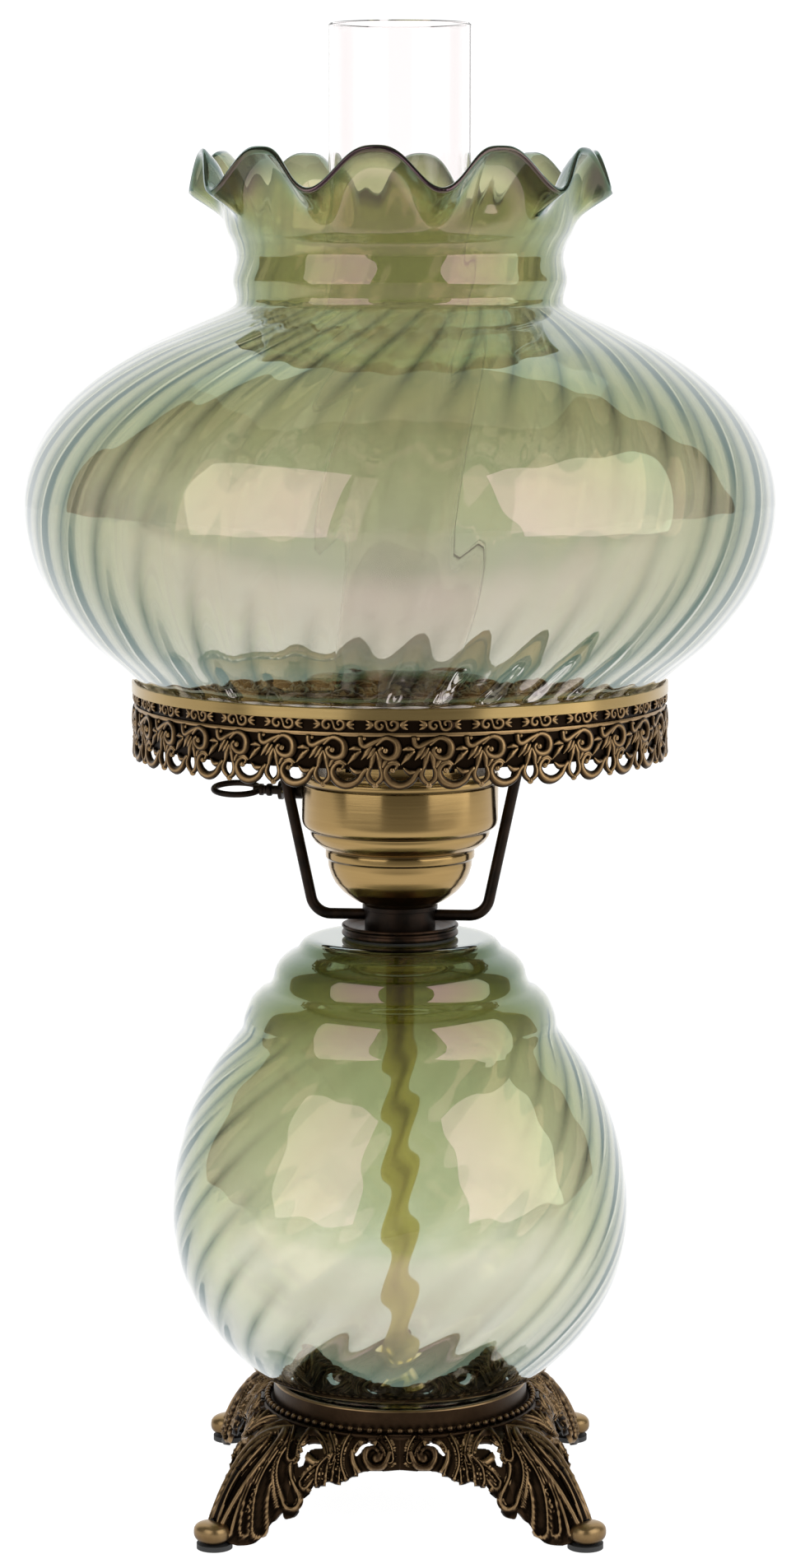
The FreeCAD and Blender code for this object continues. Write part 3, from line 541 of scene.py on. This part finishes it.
# Each stroke: half-widths at its start, middle and end, then its points: mm along the band from
# the repeat's hook, and mm down from the thin line.
FILIGREE = [
    ((0.9, 1.0, 0.6), [(0, 0.3), (0.5, 3.7), (2.6, 4.7), (6.8, 2.6), (11.6, 0.5)]),
    ((0.5, 1.35, 0.7), [(7.4, 4.2), (11.6, 0.8), (15.8, 2.1), (17.3, 5.3), (16.3, 8.9),
                        (13.1, 10.2), (10, 8.9), (8.9, 6.3), (10.6, 5.2)]),
    ((0.5, 1.1, 0.2), [(5.3, 4.2), (3.4, 7.2), (0.5, 11)]),
    ((0.5, 1.0, 0.2), [(6.8, 5.3), (5.4, 7.8), (3.2, 10.5)]),
    ((0.5, 1.1, 0.2), [(0.5, 6.8), (-2.6, 9.4), (-5.8, 13.1)]),
    ((0.3, 1.0, 0.4), [(-5.3, 6.3), (-2.4, 5.6), (0.5, 6.3)]),
    ((0.3, 0.9, 0.4), [(-3.7, 9.2), (-2.4, 8.6), (-0.6, 8.4)]),
    ((0.3, 1.0, 0.4), [(-4.7, 14.4), (-2, 16.5), (2.1, 16.1)]),
    ((0.4, 1.1, 0.6), [(7.4, 6.8), (5.8, 10.5), (4.7, 14.7)]),
    ((0.4, 1.1, 0.6), [(7.4, 6.8), (8.8, 10.5), (9.3, 14.7)]),
    ((0.6, 0.9, 0.7), [(4.7, 14.2), (3.5, 17.5), (4.3, 20), (6.4, 22)]),
    ((0.6, 0.9, 0.7), [(9.3, 14.2), (10.2, 17.5), (9.6, 20), (7.4, 22)]),
    ((0.5, 1.35, 0.8), [(-8.6, 15.2), (-7.4, 13.4), (-9.6, 12.4), (-12.1, 14.2), (-12.9, 17.3),
                        (-11, 20.7), (-7.4, 22.5), (-3.7, 22.1), (-0.5, 20), (1.4, 16.8),
                        (3.6, 14.8)]),
    ((0.5, 0.9, 0.5), [(10.2, 14.4), (11.3, 12.2), (13.1, 10.4)]),
    ((0.5, 0.8, 0.5), [(12.6, 12.6), (15.6, 11.6), (18.2, 13.2)]),
]
FILIGREE_BALLS = [(11.6, 6.6, 1.5), (7.0, 22.4, 1.5), (-9.8, 15.6, 1.4), (2.0, 1.2, 0.9)]
SCROLLS = [
    ((0.5, 0.8, 0.5), [(12.2, -5.2), (11.4, -7.1), (9.2, -7.5), (7.4, -6.2), (7.5, -4.2),
                       (9.2, -3.3), (10.4, -4.5), (9.6, -5.6)]),
    ((0.5, 0.8, 0.5), [(12.2, -5.2), (13.0, -3.3), (15.2, -2.9), (17.0, -4.2), (16.9, -6.2),
                       (15.2, -7.1), (14.0, -5.9), (14.8, -4.8)]),
]
SCROLLS += [((0.6, 0.75, 0.2), [(x, -5.2), (x + lean * 0.6, -5.2 - rise * 0.7),
                                (x + lean, -5.2 - rise)])
            for x, lean in ((6.0, -3.4), (18.4, 3.4)) for rise in (-2.1, 0.0, 2.1)]


def on_band(along, down, lift, start):
    """Band coordinates as points: bearing = start + along / radius, level = thin line - down."""
    bearing = math.radians(start) + along / BAND_RADIUS
    radius = BAND_RADIUS + lift
    return np.stack([radius * np.cos(bearing), radius * np.sin(bearing),
                     THIN_LINE - down + 0 * bearing], axis=-1) * MM


def band_stroke(stroke, start):
    """One raised stroke: a tapering bar laid on the band."""
    widths, points = stroke
    count = max(6, 3 * len(points))
    flat = curve_through(points, count)
    path = on_band(flat[:, 0], flat[:, 1], 0.25, start)
    outward = path * np.array([1, 1, 0])
    outward /= np.linalg.norm(outward, axis=1, keepdims=True)
    width = np.interp(np.linspace(0, 1, count), (0, 0.5, 1), widths) * BOLD * MM
    points, faces, lift = bar_along(path, width, 0.4 * MM + 0.55 * width, outward)
    # each stroke's outward crest is painted bright as a highlight and its sides dark as shade
    return points, faces, {"relief": np.clip(lift, 0, 1) ** 3}


def copies(part, starts):
    """The same set of points turned to every start bearing."""
    points, faces, values = part
    made = []
    for start in starts:
        turn = math.radians(start)
        spin = np.array([[math.cos(turn), math.sin(turn), 0], [-math.sin(turn), math.cos(turn), 0],
                         [0, 0, 1]])
        made.append((points @ spin, faces, values))
    return joined(made)


def filigree():
    """The stamped strip: pierced scroll fringe, scroll strip, beads and the sheet behind."""
    starts = [SEAM + 3.2 + k * math.degrees(PITCH / BAND_RADIUS) for k in range(REPEATS)]
    motif = [band_stroke(stroke, 0.0) for stroke in FILIGREE + SCROLLS]
    for along, down, radius in FILIGREE_BALLS:
        centre = on_band(np.array([along]), np.array([down]), 0.3, 0.0)[0]
        points, faces = ball(centre, radius * MM)
        motif.append((points, faces, {"relief": np.full(len(points), 0.85)}))
    points, faces, values = copies(joined(motif), starts)
    piece = new_piece("filigree_scrolls", points, faces, attributes=values)
    stands_for(piece, "filigree_band", "stand", FINISH["filigree"])

    sheet = rounded([(127.45, 379.5), (128.0, 379.5), (128.0, 394.4), (128.75, 394.7),
                     (128.95, 395.6), (128.75, 396.5), (128.0, 396.8), (128.0, 401.6),
                     (128.5, 401.9), (128.5, 402.6), (127.45, 402.6)], 0.3)
    points, faces = revolved(sheet * MM, 256)
    radius = np.linalg.norm(points[:, :2], axis=1) / MM
    # the sheet behind the strokes is dark patina with painted shade, the bead's crest a painted
    # highlight
    relief = np.clip((radius - 128.1) / 0.7, 0, 1) * 0.9
    back = new_piece("filigree_sheet", points, facing_out(points, [faces]),
                     attributes={"relief": relief})
    stands_for(back, "filigree_band", "stand", FINISH["filigree"])


# ------------------------------------------------------------------ base casting
# Lower edge of the cast wall on half a side: bearing from the side's middle in degrees, reach,
# level, and how much the wall bulges before it falls to the edge. Millimetres.
EDGE = np.array([(0, 76.0, 34.4, 1.4), (8, 76.6, 33.8, 1.4), (16, 80.0, 34.0, 1.4),
                 (19, 82.6, 32.4, 1.5), (22, 86.0, 30.6, 1.6), (25, 90.0, 31.0, 1.7),
                 (28.5, 94.8, 26.0, 1.9), (31, 99.0, 18.5, 2.1), (33, 103.5, 15.5, 2.2),
                 (35, 108.0, 8.0, 2.3), (37, 113.5, 5.0, 2.5), (39.5, 121.0, 3.6, 2.7),
                 (42.5, 127.0, 3.4, 2.9), (45, 130.0, 6.0, 3.0)])
WALL_TOP = (68.0, 48.4)

# How far past that edge each leaf end reaches: bearing, share of the wall's length.
SCALLOPS = [(0, 1.0), (8, 1.01), (12.7, 1.0), (15.2, 1.08), (18.3, 1.10), (20.8, 1.08),
            (22.4, 1.01), (24.5, 1.07), (26.4, 1.0), (28, 0.96), (29, 1.02), (30.4, 1.07),
            (32, 1.05), (33.4, 0.96), (35, 0.96), (35.8, 1.0), (37.5, 1.02), (41, 1.0), (45, 0.98)]

# Ornament of half a side, laid one over another in this order. Each stroke runs from its root to
# its tip with a bow to the left, all in mm: to the side of the middle, and above the table. A
# scoop is a hollow leaf inside a raised rim. A ridge is a rounded bar.
SCOOP, RIDGE = 0, 1


def sprig(root, tip, bow):
    """A bowed middle line: straight from root to tip, plus bow times a half sine to its left."""
    root, tip = np.array(root, float), np.array(tip, float)
    share = np.linspace(0, 1, 6)[:, None]
    left = np.array([root[1] - tip[1], tip[0] - root[0]]) / np.linalg.norm(tip - root)
    return root + (tip - root) * share + bow * np.sin(math.pi * share) * left


def volute(centre, outer, inner, start, turns):
    """A scroll's middle line: the radius shrinks evenly from outer to inner as it winds."""
    share = np.linspace(0, 1, 9)
    angle = math.radians(start) + turns * TURN * share
    radius = outer + (inner - outer) * share
    return np.stack([centre[0] + radius * np.cos(angle), centre[1] + radius * np.sin(angle)], -1)


LEAVES = [
    (SCOOP, (1.4, 3.0, 3.6), sprig((60, 47), (84, 10), 4)),
    (RIDGE, (1.3, 1.3, 1.3), sprig((56, 48), (87, 8), 3)),
    (SCOOP, (1.2, 2.2, 2.4), sprig((66, 35), (74, 9), 2)),
    (RIDGE, (0.8, 1.0, 0.8), sprig((55, 48), (72, 8), 5)),
    (SCOOP, (1.2, 3.0, 3.6), sprig((56, 44), (67, 9), 4)),
    (RIDGE, (0.9, 1.3, 0.9), sprig((52, 48), (59, 19), 5)),
    (SCOOP, (1.6, 3.0, 4.0), sprig((46, 48), (52, 22), 7)),
    (SCOOP, (1.6, 2.0, 2.2), volute((42, 41), 9, 10, 195, -0.55)),
    (RIDGE, (1.4, 1.5, 2.2), sprig((33, 41), (45, 40), -3)),
    (SCOOP, (1.0, 1.9, 2.0), sprig((40, 36), (46, 29), 0)),
    (SCOOP, (1.0, 2.2, 2.3), sprig((35, 39), (38, 30), 1)),
    (SCOOP, (0.9, 1.5, 1.6), sprig((30, 40), (31, 30), 0)),
    (SCOOP, (1.7, 2.3, 2.6), volute((15, 39), 10, 11, 180, -0.6)),
    (RIDGE, (1.5, 1.7, 2.4), volute((12, 41), 7, 2, 175, 1.2)),
    (RIDGE, (1.2, 1.6, 1.2), sprig((23, 42), (20, 34), 1)),
]
PIERCED = [((1.3, 2.1, 1.5), sprig((9, 42), (21, 42), 4)),
           ((1.4, 2.1, 2.3), sprig((38, 45), (48, 38), 3))]
BEAD_ROWS = [((57, 43), (62, 35), 8, 0.62), ((70, 27), (73, 18), 8, 0.6),
             ((29, 44), (30, 36), 7, 0.5)]


def nearest(points, centre):
    """Distance of every point from a polyline, and how far along it the nearest place is."""
    best = np.full(points.shape[:-1], 1e9)
    share = np.zeros(points.shape[:-1])
    spans = len(centre) - 1
    for k in range(spans):
        a, b = centre[k], centre[k + 1]
        t = np.clip(((points - a) @ (b - a)) / ((b - a) @ (b - a)), 0, 1)
        gap = np.linalg.norm(points - a - t[..., None] * (b - a), axis=-1)
        closer = gap < best
        best = np.where(closer, gap, best)
        share = np.where(closer, (k + t) / spans, share)
    return best, share


def across_stroke(flat, widths, points):
    """Distance from a stroke's middle line as a share of its half-width there."""
    gap, share = nearest(flat, curve_through(points, 26))
    return gap / np.interp(share, (0, 0.5, 1), widths)


def relief_height(flat):
    """Height of the ornament over the wall, each stroke painted over those before it.

    With u the distance from the middle line over the half-width: a scoop is a rim
    '2.3 exp(-((u - 1) / 0.32)^2)' round a hollow '-1.3 (1 - u^2)' with a fine vein down it, and
    a ridge is '2.8 sqrt(1 - u^2)'.
    """
    height = np.full(flat.shape[:-1], 0.0)
    for kind, widths, points in LEAVES:
        u = across_stroke(flat, widths, points)
        if kind == SCOOP:
            rim = 2.3 * np.exp(-((u - 1) / 0.32) ** 2)
            hollow = -1.3 * np.clip(1 - u ** 2, 0, 1)
            vein = 0.5 * np.exp(-(u / 0.16) ** 2)
            height = np.where(u < 1.4, rim + hollow + vein, height)
        else:
            height = np.where(u < 1.0, np.maximum(height, 2.8 * np.sqrt(np.clip(1 - u ** 2, 0, 1))),
                              height)
    for start, end, number, radius in BEAD_ROWS:
        for share in np.linspace(0, 1, number):
            centre = np.array(start) * (1 - share) + np.array(end) * share
            gap = np.linalg.norm(flat - centre, axis=-1)
            height = np.maximum(height, 2.4 * np.sqrt(np.clip(1 - (gap / radius) ** 2, 0, 1)))
    return height


def wear_and_shade(height):
    """How bright the metal is: 0.42 on the flat, rubbed and painted bright on crests, painted shade
    in crevices.

    It falls with the sum of second differences of the height at two spacings, and rises with
    the height itself.
    """
    worn_and_shaded = 0.42 + 0.03 * height
    for gap, share in ((1, 0.33), (3, 0.10)):
        wide = np.pad(height, gap, mode="edge")
        middle = wide[gap:-gap, gap:-gap]
        bend = (wide[2 * gap:, gap:-gap] + wide[:-2 * gap, gap:-gap] + wide[gap:-gap, 2 * gap:]
                + wide[gap:-gap, :-2 * gap] - 4 * middle)
        worn_and_shaded = worn_and_shaded - share * bend
    return np.clip(worn_and_shaded, 0, 1)


def base_leg(side):
    """A quarter of the casting, from the middle of one side over a leg to the next.

    Wall point at bearing b and share s: radius = top + (reach - top) s, level = top - fall *
    s^bulge, both read from EDGE at the bearing's distance from the side's middle, and then
    lifted along the wall's normal by the relief.
    """
    rows, columns = 340, 104
    b = np.linspace(0, 90, rows)[:, None]
    half = np.minimum(b, 90 - b)
    ends = curve_through(SCALLOPS, 160)
    s = np.linspace(0, 1, columns)[None, :] * np.interp(half, ends[:, 0], ends[:, 1])
    reach, level, bulge = (np.interp(half, EDGE[:, 0], EDGE[:, k]) for k in (1, 2, 3))
    radius = WALL_TOP[0] + (reach - WALL_TOP[0]) * s
    height = WALL_TOP[1] - (WALL_TOP[1] - level) * s ** bulge
    flat = np.stack([radius * np.sin(np.radians(half)), height + 0 * half], -1)
    turn = np.radians(b + 90 * side + FRONT)
    wall = np.stack([radius * np.cos(turn), radius * np.sin(turn), height], -1)
    normal = np.cross(np.gradient(wall, axis=0), np.gradient(wall, axis=1))
    normal /= np.linalg.norm(normal, axis=-1, keepdims=True) + 1e-9
    normal *= np.sign(normal[..., 2:3] + 1e-9)
    for row in (0, -1):
        round_it = np.array([-math.sin(turn[row, 0]), math.cos(turn[row, 0]), 0])
        normal[row] -= (normal[row] @ round_it)[:, None] * round_it
    relief = relief_height(flat)
    along = np.linspace(0, 1, columns)[None, :]
    fade = np.clip(along / 0.05, 0, 1)
    edge = np.clip((1 - along) / 0.03, 0.4, 1)
    points = wall + normal * (relief * fade * edge)[..., None] - normal * 1.2
    # rubbed wear with painted highlight on the crests and painted shade in the crevices
    worn_and_shaded = wear_and_shade(relief * fade)
    hole = np.minimum(*(across_stroke(flat, widths, line) for widths, line in PIERCED))
    faces = grid_faces(rows, columns)
    keep = (hole.ravel()[faces] > 1.0).any(axis=1)
    points = points.reshape(-1, 3)
    piece = new_piece(f"base_leg_{side + 1}", points * MM, [faces[keep][:, ::-1]],
                      attributes={"relief": worn_and_shaded})
    tidy_mesh(piece)
    thick = piece.modifiers.new("wall", "SOLIDIFY")
    thick.thickness = 2.6 * MM
    thick.offset = -1.0
    return stands_for(piece, "base_casting", "stand", FINISH["cast"])


def tidy_mesh(piece):
    """Drop the points that no face uses."""
    mesh = bmesh.new()
    mesh.from_mesh(piece.data)
    loose = [v for v in mesh.verts if not v.link_faces]
    bmesh.ops.delete(mesh, geom=loose, context="VERTS")
    inside = [v for v in mesh.verts if v.is_boundary and all(
        not e.is_boundary or e.calc_length() < 0.0012 for e in v.link_edges)
        and v.co.z > 0.030 and v.co.xy.length < 0.0790
        and min(abs(v.co.x), abs(v.co.y)) > 0.001]
    for _ in range(2):
        bmesh.ops.smooth_vert(mesh, verts=inside, factor=0.5, use_axis_x=True, use_axis_y=True,
                              use_axis_z=True)
    bmesh.ops.recalc_face_normals(mesh, faces=mesh.faces)
    up = sum(face.normal.z * face.calc_area() for face in mesh.faces)
    if up < 0:
        bmesh.ops.reverse_faces(mesh, faces=mesh.faces)
    mesh.to_mesh(piece.data)
    mesh.free()


def base_collar():
    """The plain collar, the seat inside it and the row of beads below it."""
    outline = rounded([(66.0, 44.0), (68.2, 46.0), (68.6, 48.0), (67.8, 48.8), (63.4, 49.0),
                       (62.7, 50.0), (62.7, 58.4), (62.3, 59.2), (60.8, 59.2), (59.2, 58.6),
                       (58.8, 47.0), (5.4, 47.0), (5.4, 44.0), (66.0, 44.0), (68.2, 46.0)],
                      0.5)[1:-1]
    points, faces = revolved(outline * MM, 192)
    level = points[:, 2] / MM
    radius = np.linalg.norm(points[:, :2], axis=1) / MM
    # the collar's top rim is a painted highlight and the seat inside it painted shade
    relief = np.where((level > 58.5) & (radius > 59.5), 0.95, 0.42) * (radius > 58.9)
    parts = [(points, [faces], {"relief": relief})]
    number = 84
    for k in range(number):
        turn = TURN * k / number
        centre = np.array([65.9 * math.cos(turn), 65.9 * math.sin(turn), 50.0]) * MM
        dots, dot_faces = ball(centre, 1.75 * MM, 1.0, 7, 10)
        # painted highlight on the top of each bead, painted shade below
        lift = np.clip((dots[:, 2] / MM - 49.4) / 2.0, 0, 1) * 0.8 + 0.1
        parts.append((dots, dot_faces, {"relief": lift}))
    points, faces, values = joined(parts)
    piece = new_piece("base_collar", points, faces, attributes=values)
    stands_for(piece, "base_casting", "stand", FINISH["cast"])


def base_toes():
    """Four rounded toes: flattened balls, widest across the leg, with a soft brow above."""
    parts = []
    for corner in range(4):
        turn = math.radians(45 + 90 * corner)
        out = np.array([math.cos(turn), math.sin(turn), 0])
        across = np.array([-out[1], out[0], 0])
        up = np.array([0, 0, 1.0])
        p = np.linspace(0.02, math.pi - 0.02, 24)[:, None, None]
        a = np.linspace(0, TURN, 40, endpoint=False)[None, :, None]

        def power(value, exponent):
            return np.sign(value) * np.abs(value) ** exponent

        shape = (7.6 * power(np.sin(p), 0.7) * power(np.cos(a), 0.9) * out
                 + 9.0 * power(np.sin(p), 0.7) * power(np.sin(a), 0.9) * across
                 + 5.2 * power(np.cos(p), 0.8) * up)
        points = (shape + out * 127.0 + up * 8.0).reshape(-1, 3)
        rows, columns = 24, 40
        caps = [np.arange(columns)[None, :],
                ((rows - 1) * columns + np.arange(columns))[None, ::-1]]
        faces = [grid_faces(rows, columns, False, True)[:, ::-1]] + caps
        # painted light: brighter toward the top of each toe, painted shade underneath
        relief = np.clip(0.45 + (points[:, 2] - 5.0) / 14.0, 0, 1)
        parts.append((points * MM, faces, {"relief": relief}))
    points, faces, values = joined(parts)
    piece = new_piece("base_toes", points, faces, attributes=values)
    stands_for(piece, "base_casting", "stand", FINISH["toe"])


# ------------------------------------------------------------------ turned metal
def burner_cup():
    """The spun burner cup, with soft rolled beads, as one sheet turned in at the top."""
    outer = [(5.3, 297.0), (17.9, 297.0), (22.7, 299.6), (25.8, 301.8), (28.4, 303.9),
             (31.8, 307.9), (33.8, 311.9), (35.0, 315.9), (35.3, 319.6), (36.4, 320.4),
             (36.4, 323.6), (35.8, 324.6), (38.0, 325.4), (41.8, 328.4), (43.8, 331.6),
             (43.8, 334.0), (45.4, 334.6), (47.3, 336.4), (47.9, 339.0), (48.0, 356.6),
             (47.5, 357.3), (48.3, 358.2), (48.5, 359.8), (48.0, 361.4), (46.8, 362.0),
             (45.0, 362.0)]
    inner = [(45.0, 361.1), (46.4, 361.0), (46.6, 340.0), (43.0, 335.8), (41.0, 331.0),
             (34.8, 326.0), (34.6, 320.4), (33.0, 313.0), (27.0, 304.4), (17.0, 298.0),
             (5.3, 298.0)]
    # the four levels of painted shade, at the inner corners of the cup's steps
    piece = turned("cup", outer + inner, 1.1, 256, (319.9, 324.7, 334.2, 357.4))
    stands_for(piece, "burner_cup", "stand", FINISH["satin"])


def vase_cap():
    """The dished cap with its two rolled rims."""
    outline = [(5.3, 281.4), (27.4, 281.4), (28.5, 282.2), (28.4, 283.6), (27.6, 284.6),
               (27.7, 285.4), (28.6, 286.1), (28.5, 287.0), (27.6, 287.3), (26.6, 287.0),
               (25.2, 285.6), (21.0, 284.3), (5.3, 284.0)]
    piece = turned("cap", outline, 0.5, 160)
    stands_for(piece, "vase_cap", "stand", FINISH["bronze_edge"])


def make_finishes():
    """Every finish that the pieces share."""
    return {
        "filigree": rubbed_and_shaded_brass("filigree_brass", (0.012, 0.007, 0.004), (0.055, 0.032, 0.015),
                                 (0.36, 0.23, 0.11), 0.26),
        "cast": rubbed_and_shaded_brass("cast_brass", (0.008, 0.005, 0.003), (0.045, 0.026, 0.014),
                             (0.27, 0.175, 0.088), 0.27),
        "toe": rubbed_and_shaded_brass("toe_brass", (0.04, 0.025, 0.012), (0.16, 0.10, 0.045),
                            (0.34, 0.23, 0.11), 0.26),
        "satin": brushed_brass("satin_brass", (0.42, 0.29, 0.12), (0.30, 0.19, 0.075), 0.15),
        "bright": brushed_brass("bright_brass", (0.44, 0.32, 0.14), (0.34, 0.23, 0.09), 0.2, 0.1),
        "tube": brushed_brass("tube_brass", (0.80, 0.70, 0.30), (0.64, 0.54, 0.20), 0.2, 0.1),
        "bronze": dark_bronze("oil_rubbed_bronze", (0.012, 0.009, 0.007), (0.035, 0.02, 0.013)),
        "bronze_edge": dark_bronze("rubbed_edge_bronze", (0.018, 0.012, 0.009),
                                   (0.10, 0.05, 0.026)),
        "steel": plain("zinc_steel", (0.5, 0.5, 0.5), (0.6, 0.6, 0.6), 1.0, 0.35),
        "rubber": plain("black_rubber", (0.02, 0.02, 0.02), (0.035, 0.035, 0.035), 0.0, 0.6),
        "phenolic": plain("brown_phenolic", (0.03, 0.02, 0.015), (0.05, 0.035, 0.025), 0.0, 0.25),
        "paper": plain("fibre_sleeve", (0.12, 0.09, 0.06), (0.18, 0.14, 0.10), 0.0, 0.7),
        "socket": plain("socket_brass", (0.60, 0.46, 0.22), (0.66, 0.52, 0.26), 1.0, 0.28),
        "aluminium": plain("drawn_aluminium", (0.75, 0.75, 0.75), (0.82, 0.82, 0.82), 1.0, 0.3),
        "black_glass": plain("black_glass", (0.01, 0.01, 0.01), (0.02, 0.02, 0.02), 0.0, 0.08),
        "solder": plain("solder", (0.5, 0.5, 0.52), (0.6, 0.6, 0.6), 1.0, 0.4),
        "clear": clear_glass("clear_glass"),
        "thin": thin_glass("thin_bulb_glass"),
    }


NODE_FINISH = {
    "foot_pads": "rubber", "seat_gasket": "rubber", "cap_gasket": "rubber",
    "base_washer": "steel", "lock_washer": "steel", "bottom_nut": "steel",
    "threaded_pipe": "steel", "cup_washer": "steel", "cup_lock_nut": "steel",
    "socket_set_screw": "steel", "cord_bushing": "phenolic", "socket_body": "phenolic",
    "switch_rotor": "phenolic", "tube_seat": "tube", "centre_tube": "tube",
    "shade_ring": "bright", "neck_hub": "bronze", "arm_left": "bronze", "arm_right": "bronze",
    "arm_screws": "bronze", "ring_spider": "bronze", "key_bushing": "bronze",
    "switch_key": "bronze", "filigree_rivet": "bronze_edge", "chimney_holder": "satin",
    "socket_cap": "socket", "socket_shell": "socket", "terminal_screws": "socket",
    "centre_contact": "socket", "switch_spindle": "socket", "socket_insulator": "paper",
    "screw_shell": "aluminium", "bulb_base_shell": "aluminium", "bulb_insulator": "black_glass",
    "bulb_contact": "solder", "bulb_mount": "thin", "chimney_glass": "clear",
    "bulb_glass": "thin",
}


def dress_nodes():
    """Give every CAD node that stays in view its finish."""
    for node, finish in NODE_FINISH.items():
        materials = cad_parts[node].data.materials
        materials.clear()
        materials.append(FINISH[finish])


# ------------------------------------------------------------------ studio
def soft_light(name, place, aim, width, height, power, colour=(1, 1, 1)):
    """A rectangular soft light that faces a point."""
    data = bpy.data.lights.new(name, "AREA")
    data.shape = "RECTANGLE"
    data.size, data.size_y = width, height
    data.energy = power
    data.color = colour
    lamp = bpy.data.objects.new(name, data)
    lamp.location = place
    lamp.rotation_euler = (Vector(aim) - Vector(place)).to_track_quat("-Z", "Y").to_euler()
    bpy.context.scene.collection.objects.link(lamp)


def studio():
    """Pale floor that sweeps up into a white wall behind, a dim room in front, and the camera."""
    wall_back, wall_top, half_width, bend_radius = 8.0, 16.0, 15.0, 0.6
    floor_front = -5.0
    t = np.linspace(0, math.pi / 2, 16)
    bend = np.stack([wall_back - bend_radius + bend_radius * np.sin(t),
                     bend_radius - bend_radius * np.cos(t)], -1)
    sweep = np.concatenate([[(floor_front, 0.0), (0.0, 0.0)], bend, [(wall_back, wall_top)]])
    across = np.array([-half_width, half_width])
    points = np.stack(np.broadcast_arrays(across[:, None], sweep[None, :, 0], sweep[None, :, 1]), -1)
    floor = new_piece("floor", points.reshape(-1, 3), [grid_faces(2, len(sweep))])
    r = Recipe("pale_floor")
    ahead = r.node("ShaderNodeSeparateXYZ", {}, r.place(), output="Y")
    lit = ((ahead + 0.95) / 0.4).clamp()
    glow = r.between(lit, (0.22, 0.22, 0.20), (0.97, 0.97, 0.97))
    floor.data.materials.append(r.finish((0.22, 0.22, 0.22), Roughness=0.9,
                                         Emission_Color=glow, Emission_Strength=1.0))
    world = bpy.data.worlds.new("room")
    world.use_nodes = True
    world.node_tree.nodes["Background"].inputs[0].default_value = (0.17, 0.17, 0.15, 1.0)
    world.node_tree.nodes["Background"].inputs[1].default_value = 1.0
    bpy.context.scene.world = world
    soft_light("left_box", (-1.16, -1.24, 1.0), (0, 0, 0.55), 1.5, 1.7, 12)
    soft_light("right_box", (1.47, -0.85, 1.0), (0, 0, 0.55), 1.9, 1.7, 19)
    soft_light("top_box", (0.0, 0.5, 2.6), (0, 0, 0.3), 2.4, 2.0, 5)
    camera_data = bpy.data.cameras.new("camera")
    camera_data.lens = 93.35
    camera_data.sensor_width = 36.0
    camera = bpy.data.objects.new("camera", camera_data)
    camera.location = (0.0012, -1.964, 0.620)
    camera.rotation_euler = (math.radians(90 - 7.661), 0.0, 0.0)
    bpy.context.scene.collection.objects.link(camera)
    bpy.context.scene.camera = camera
    bpy.context.scene.view_settings.view_transform = "Standard"


FINISH = make_finishes()
studio()
dress_nodes()
glass_shade()
glass_globe()
filigree()
base_collar()
base_toes()
for quarter in range(4):
    base_leg(quarter)
burner_cup()
vase_cap()
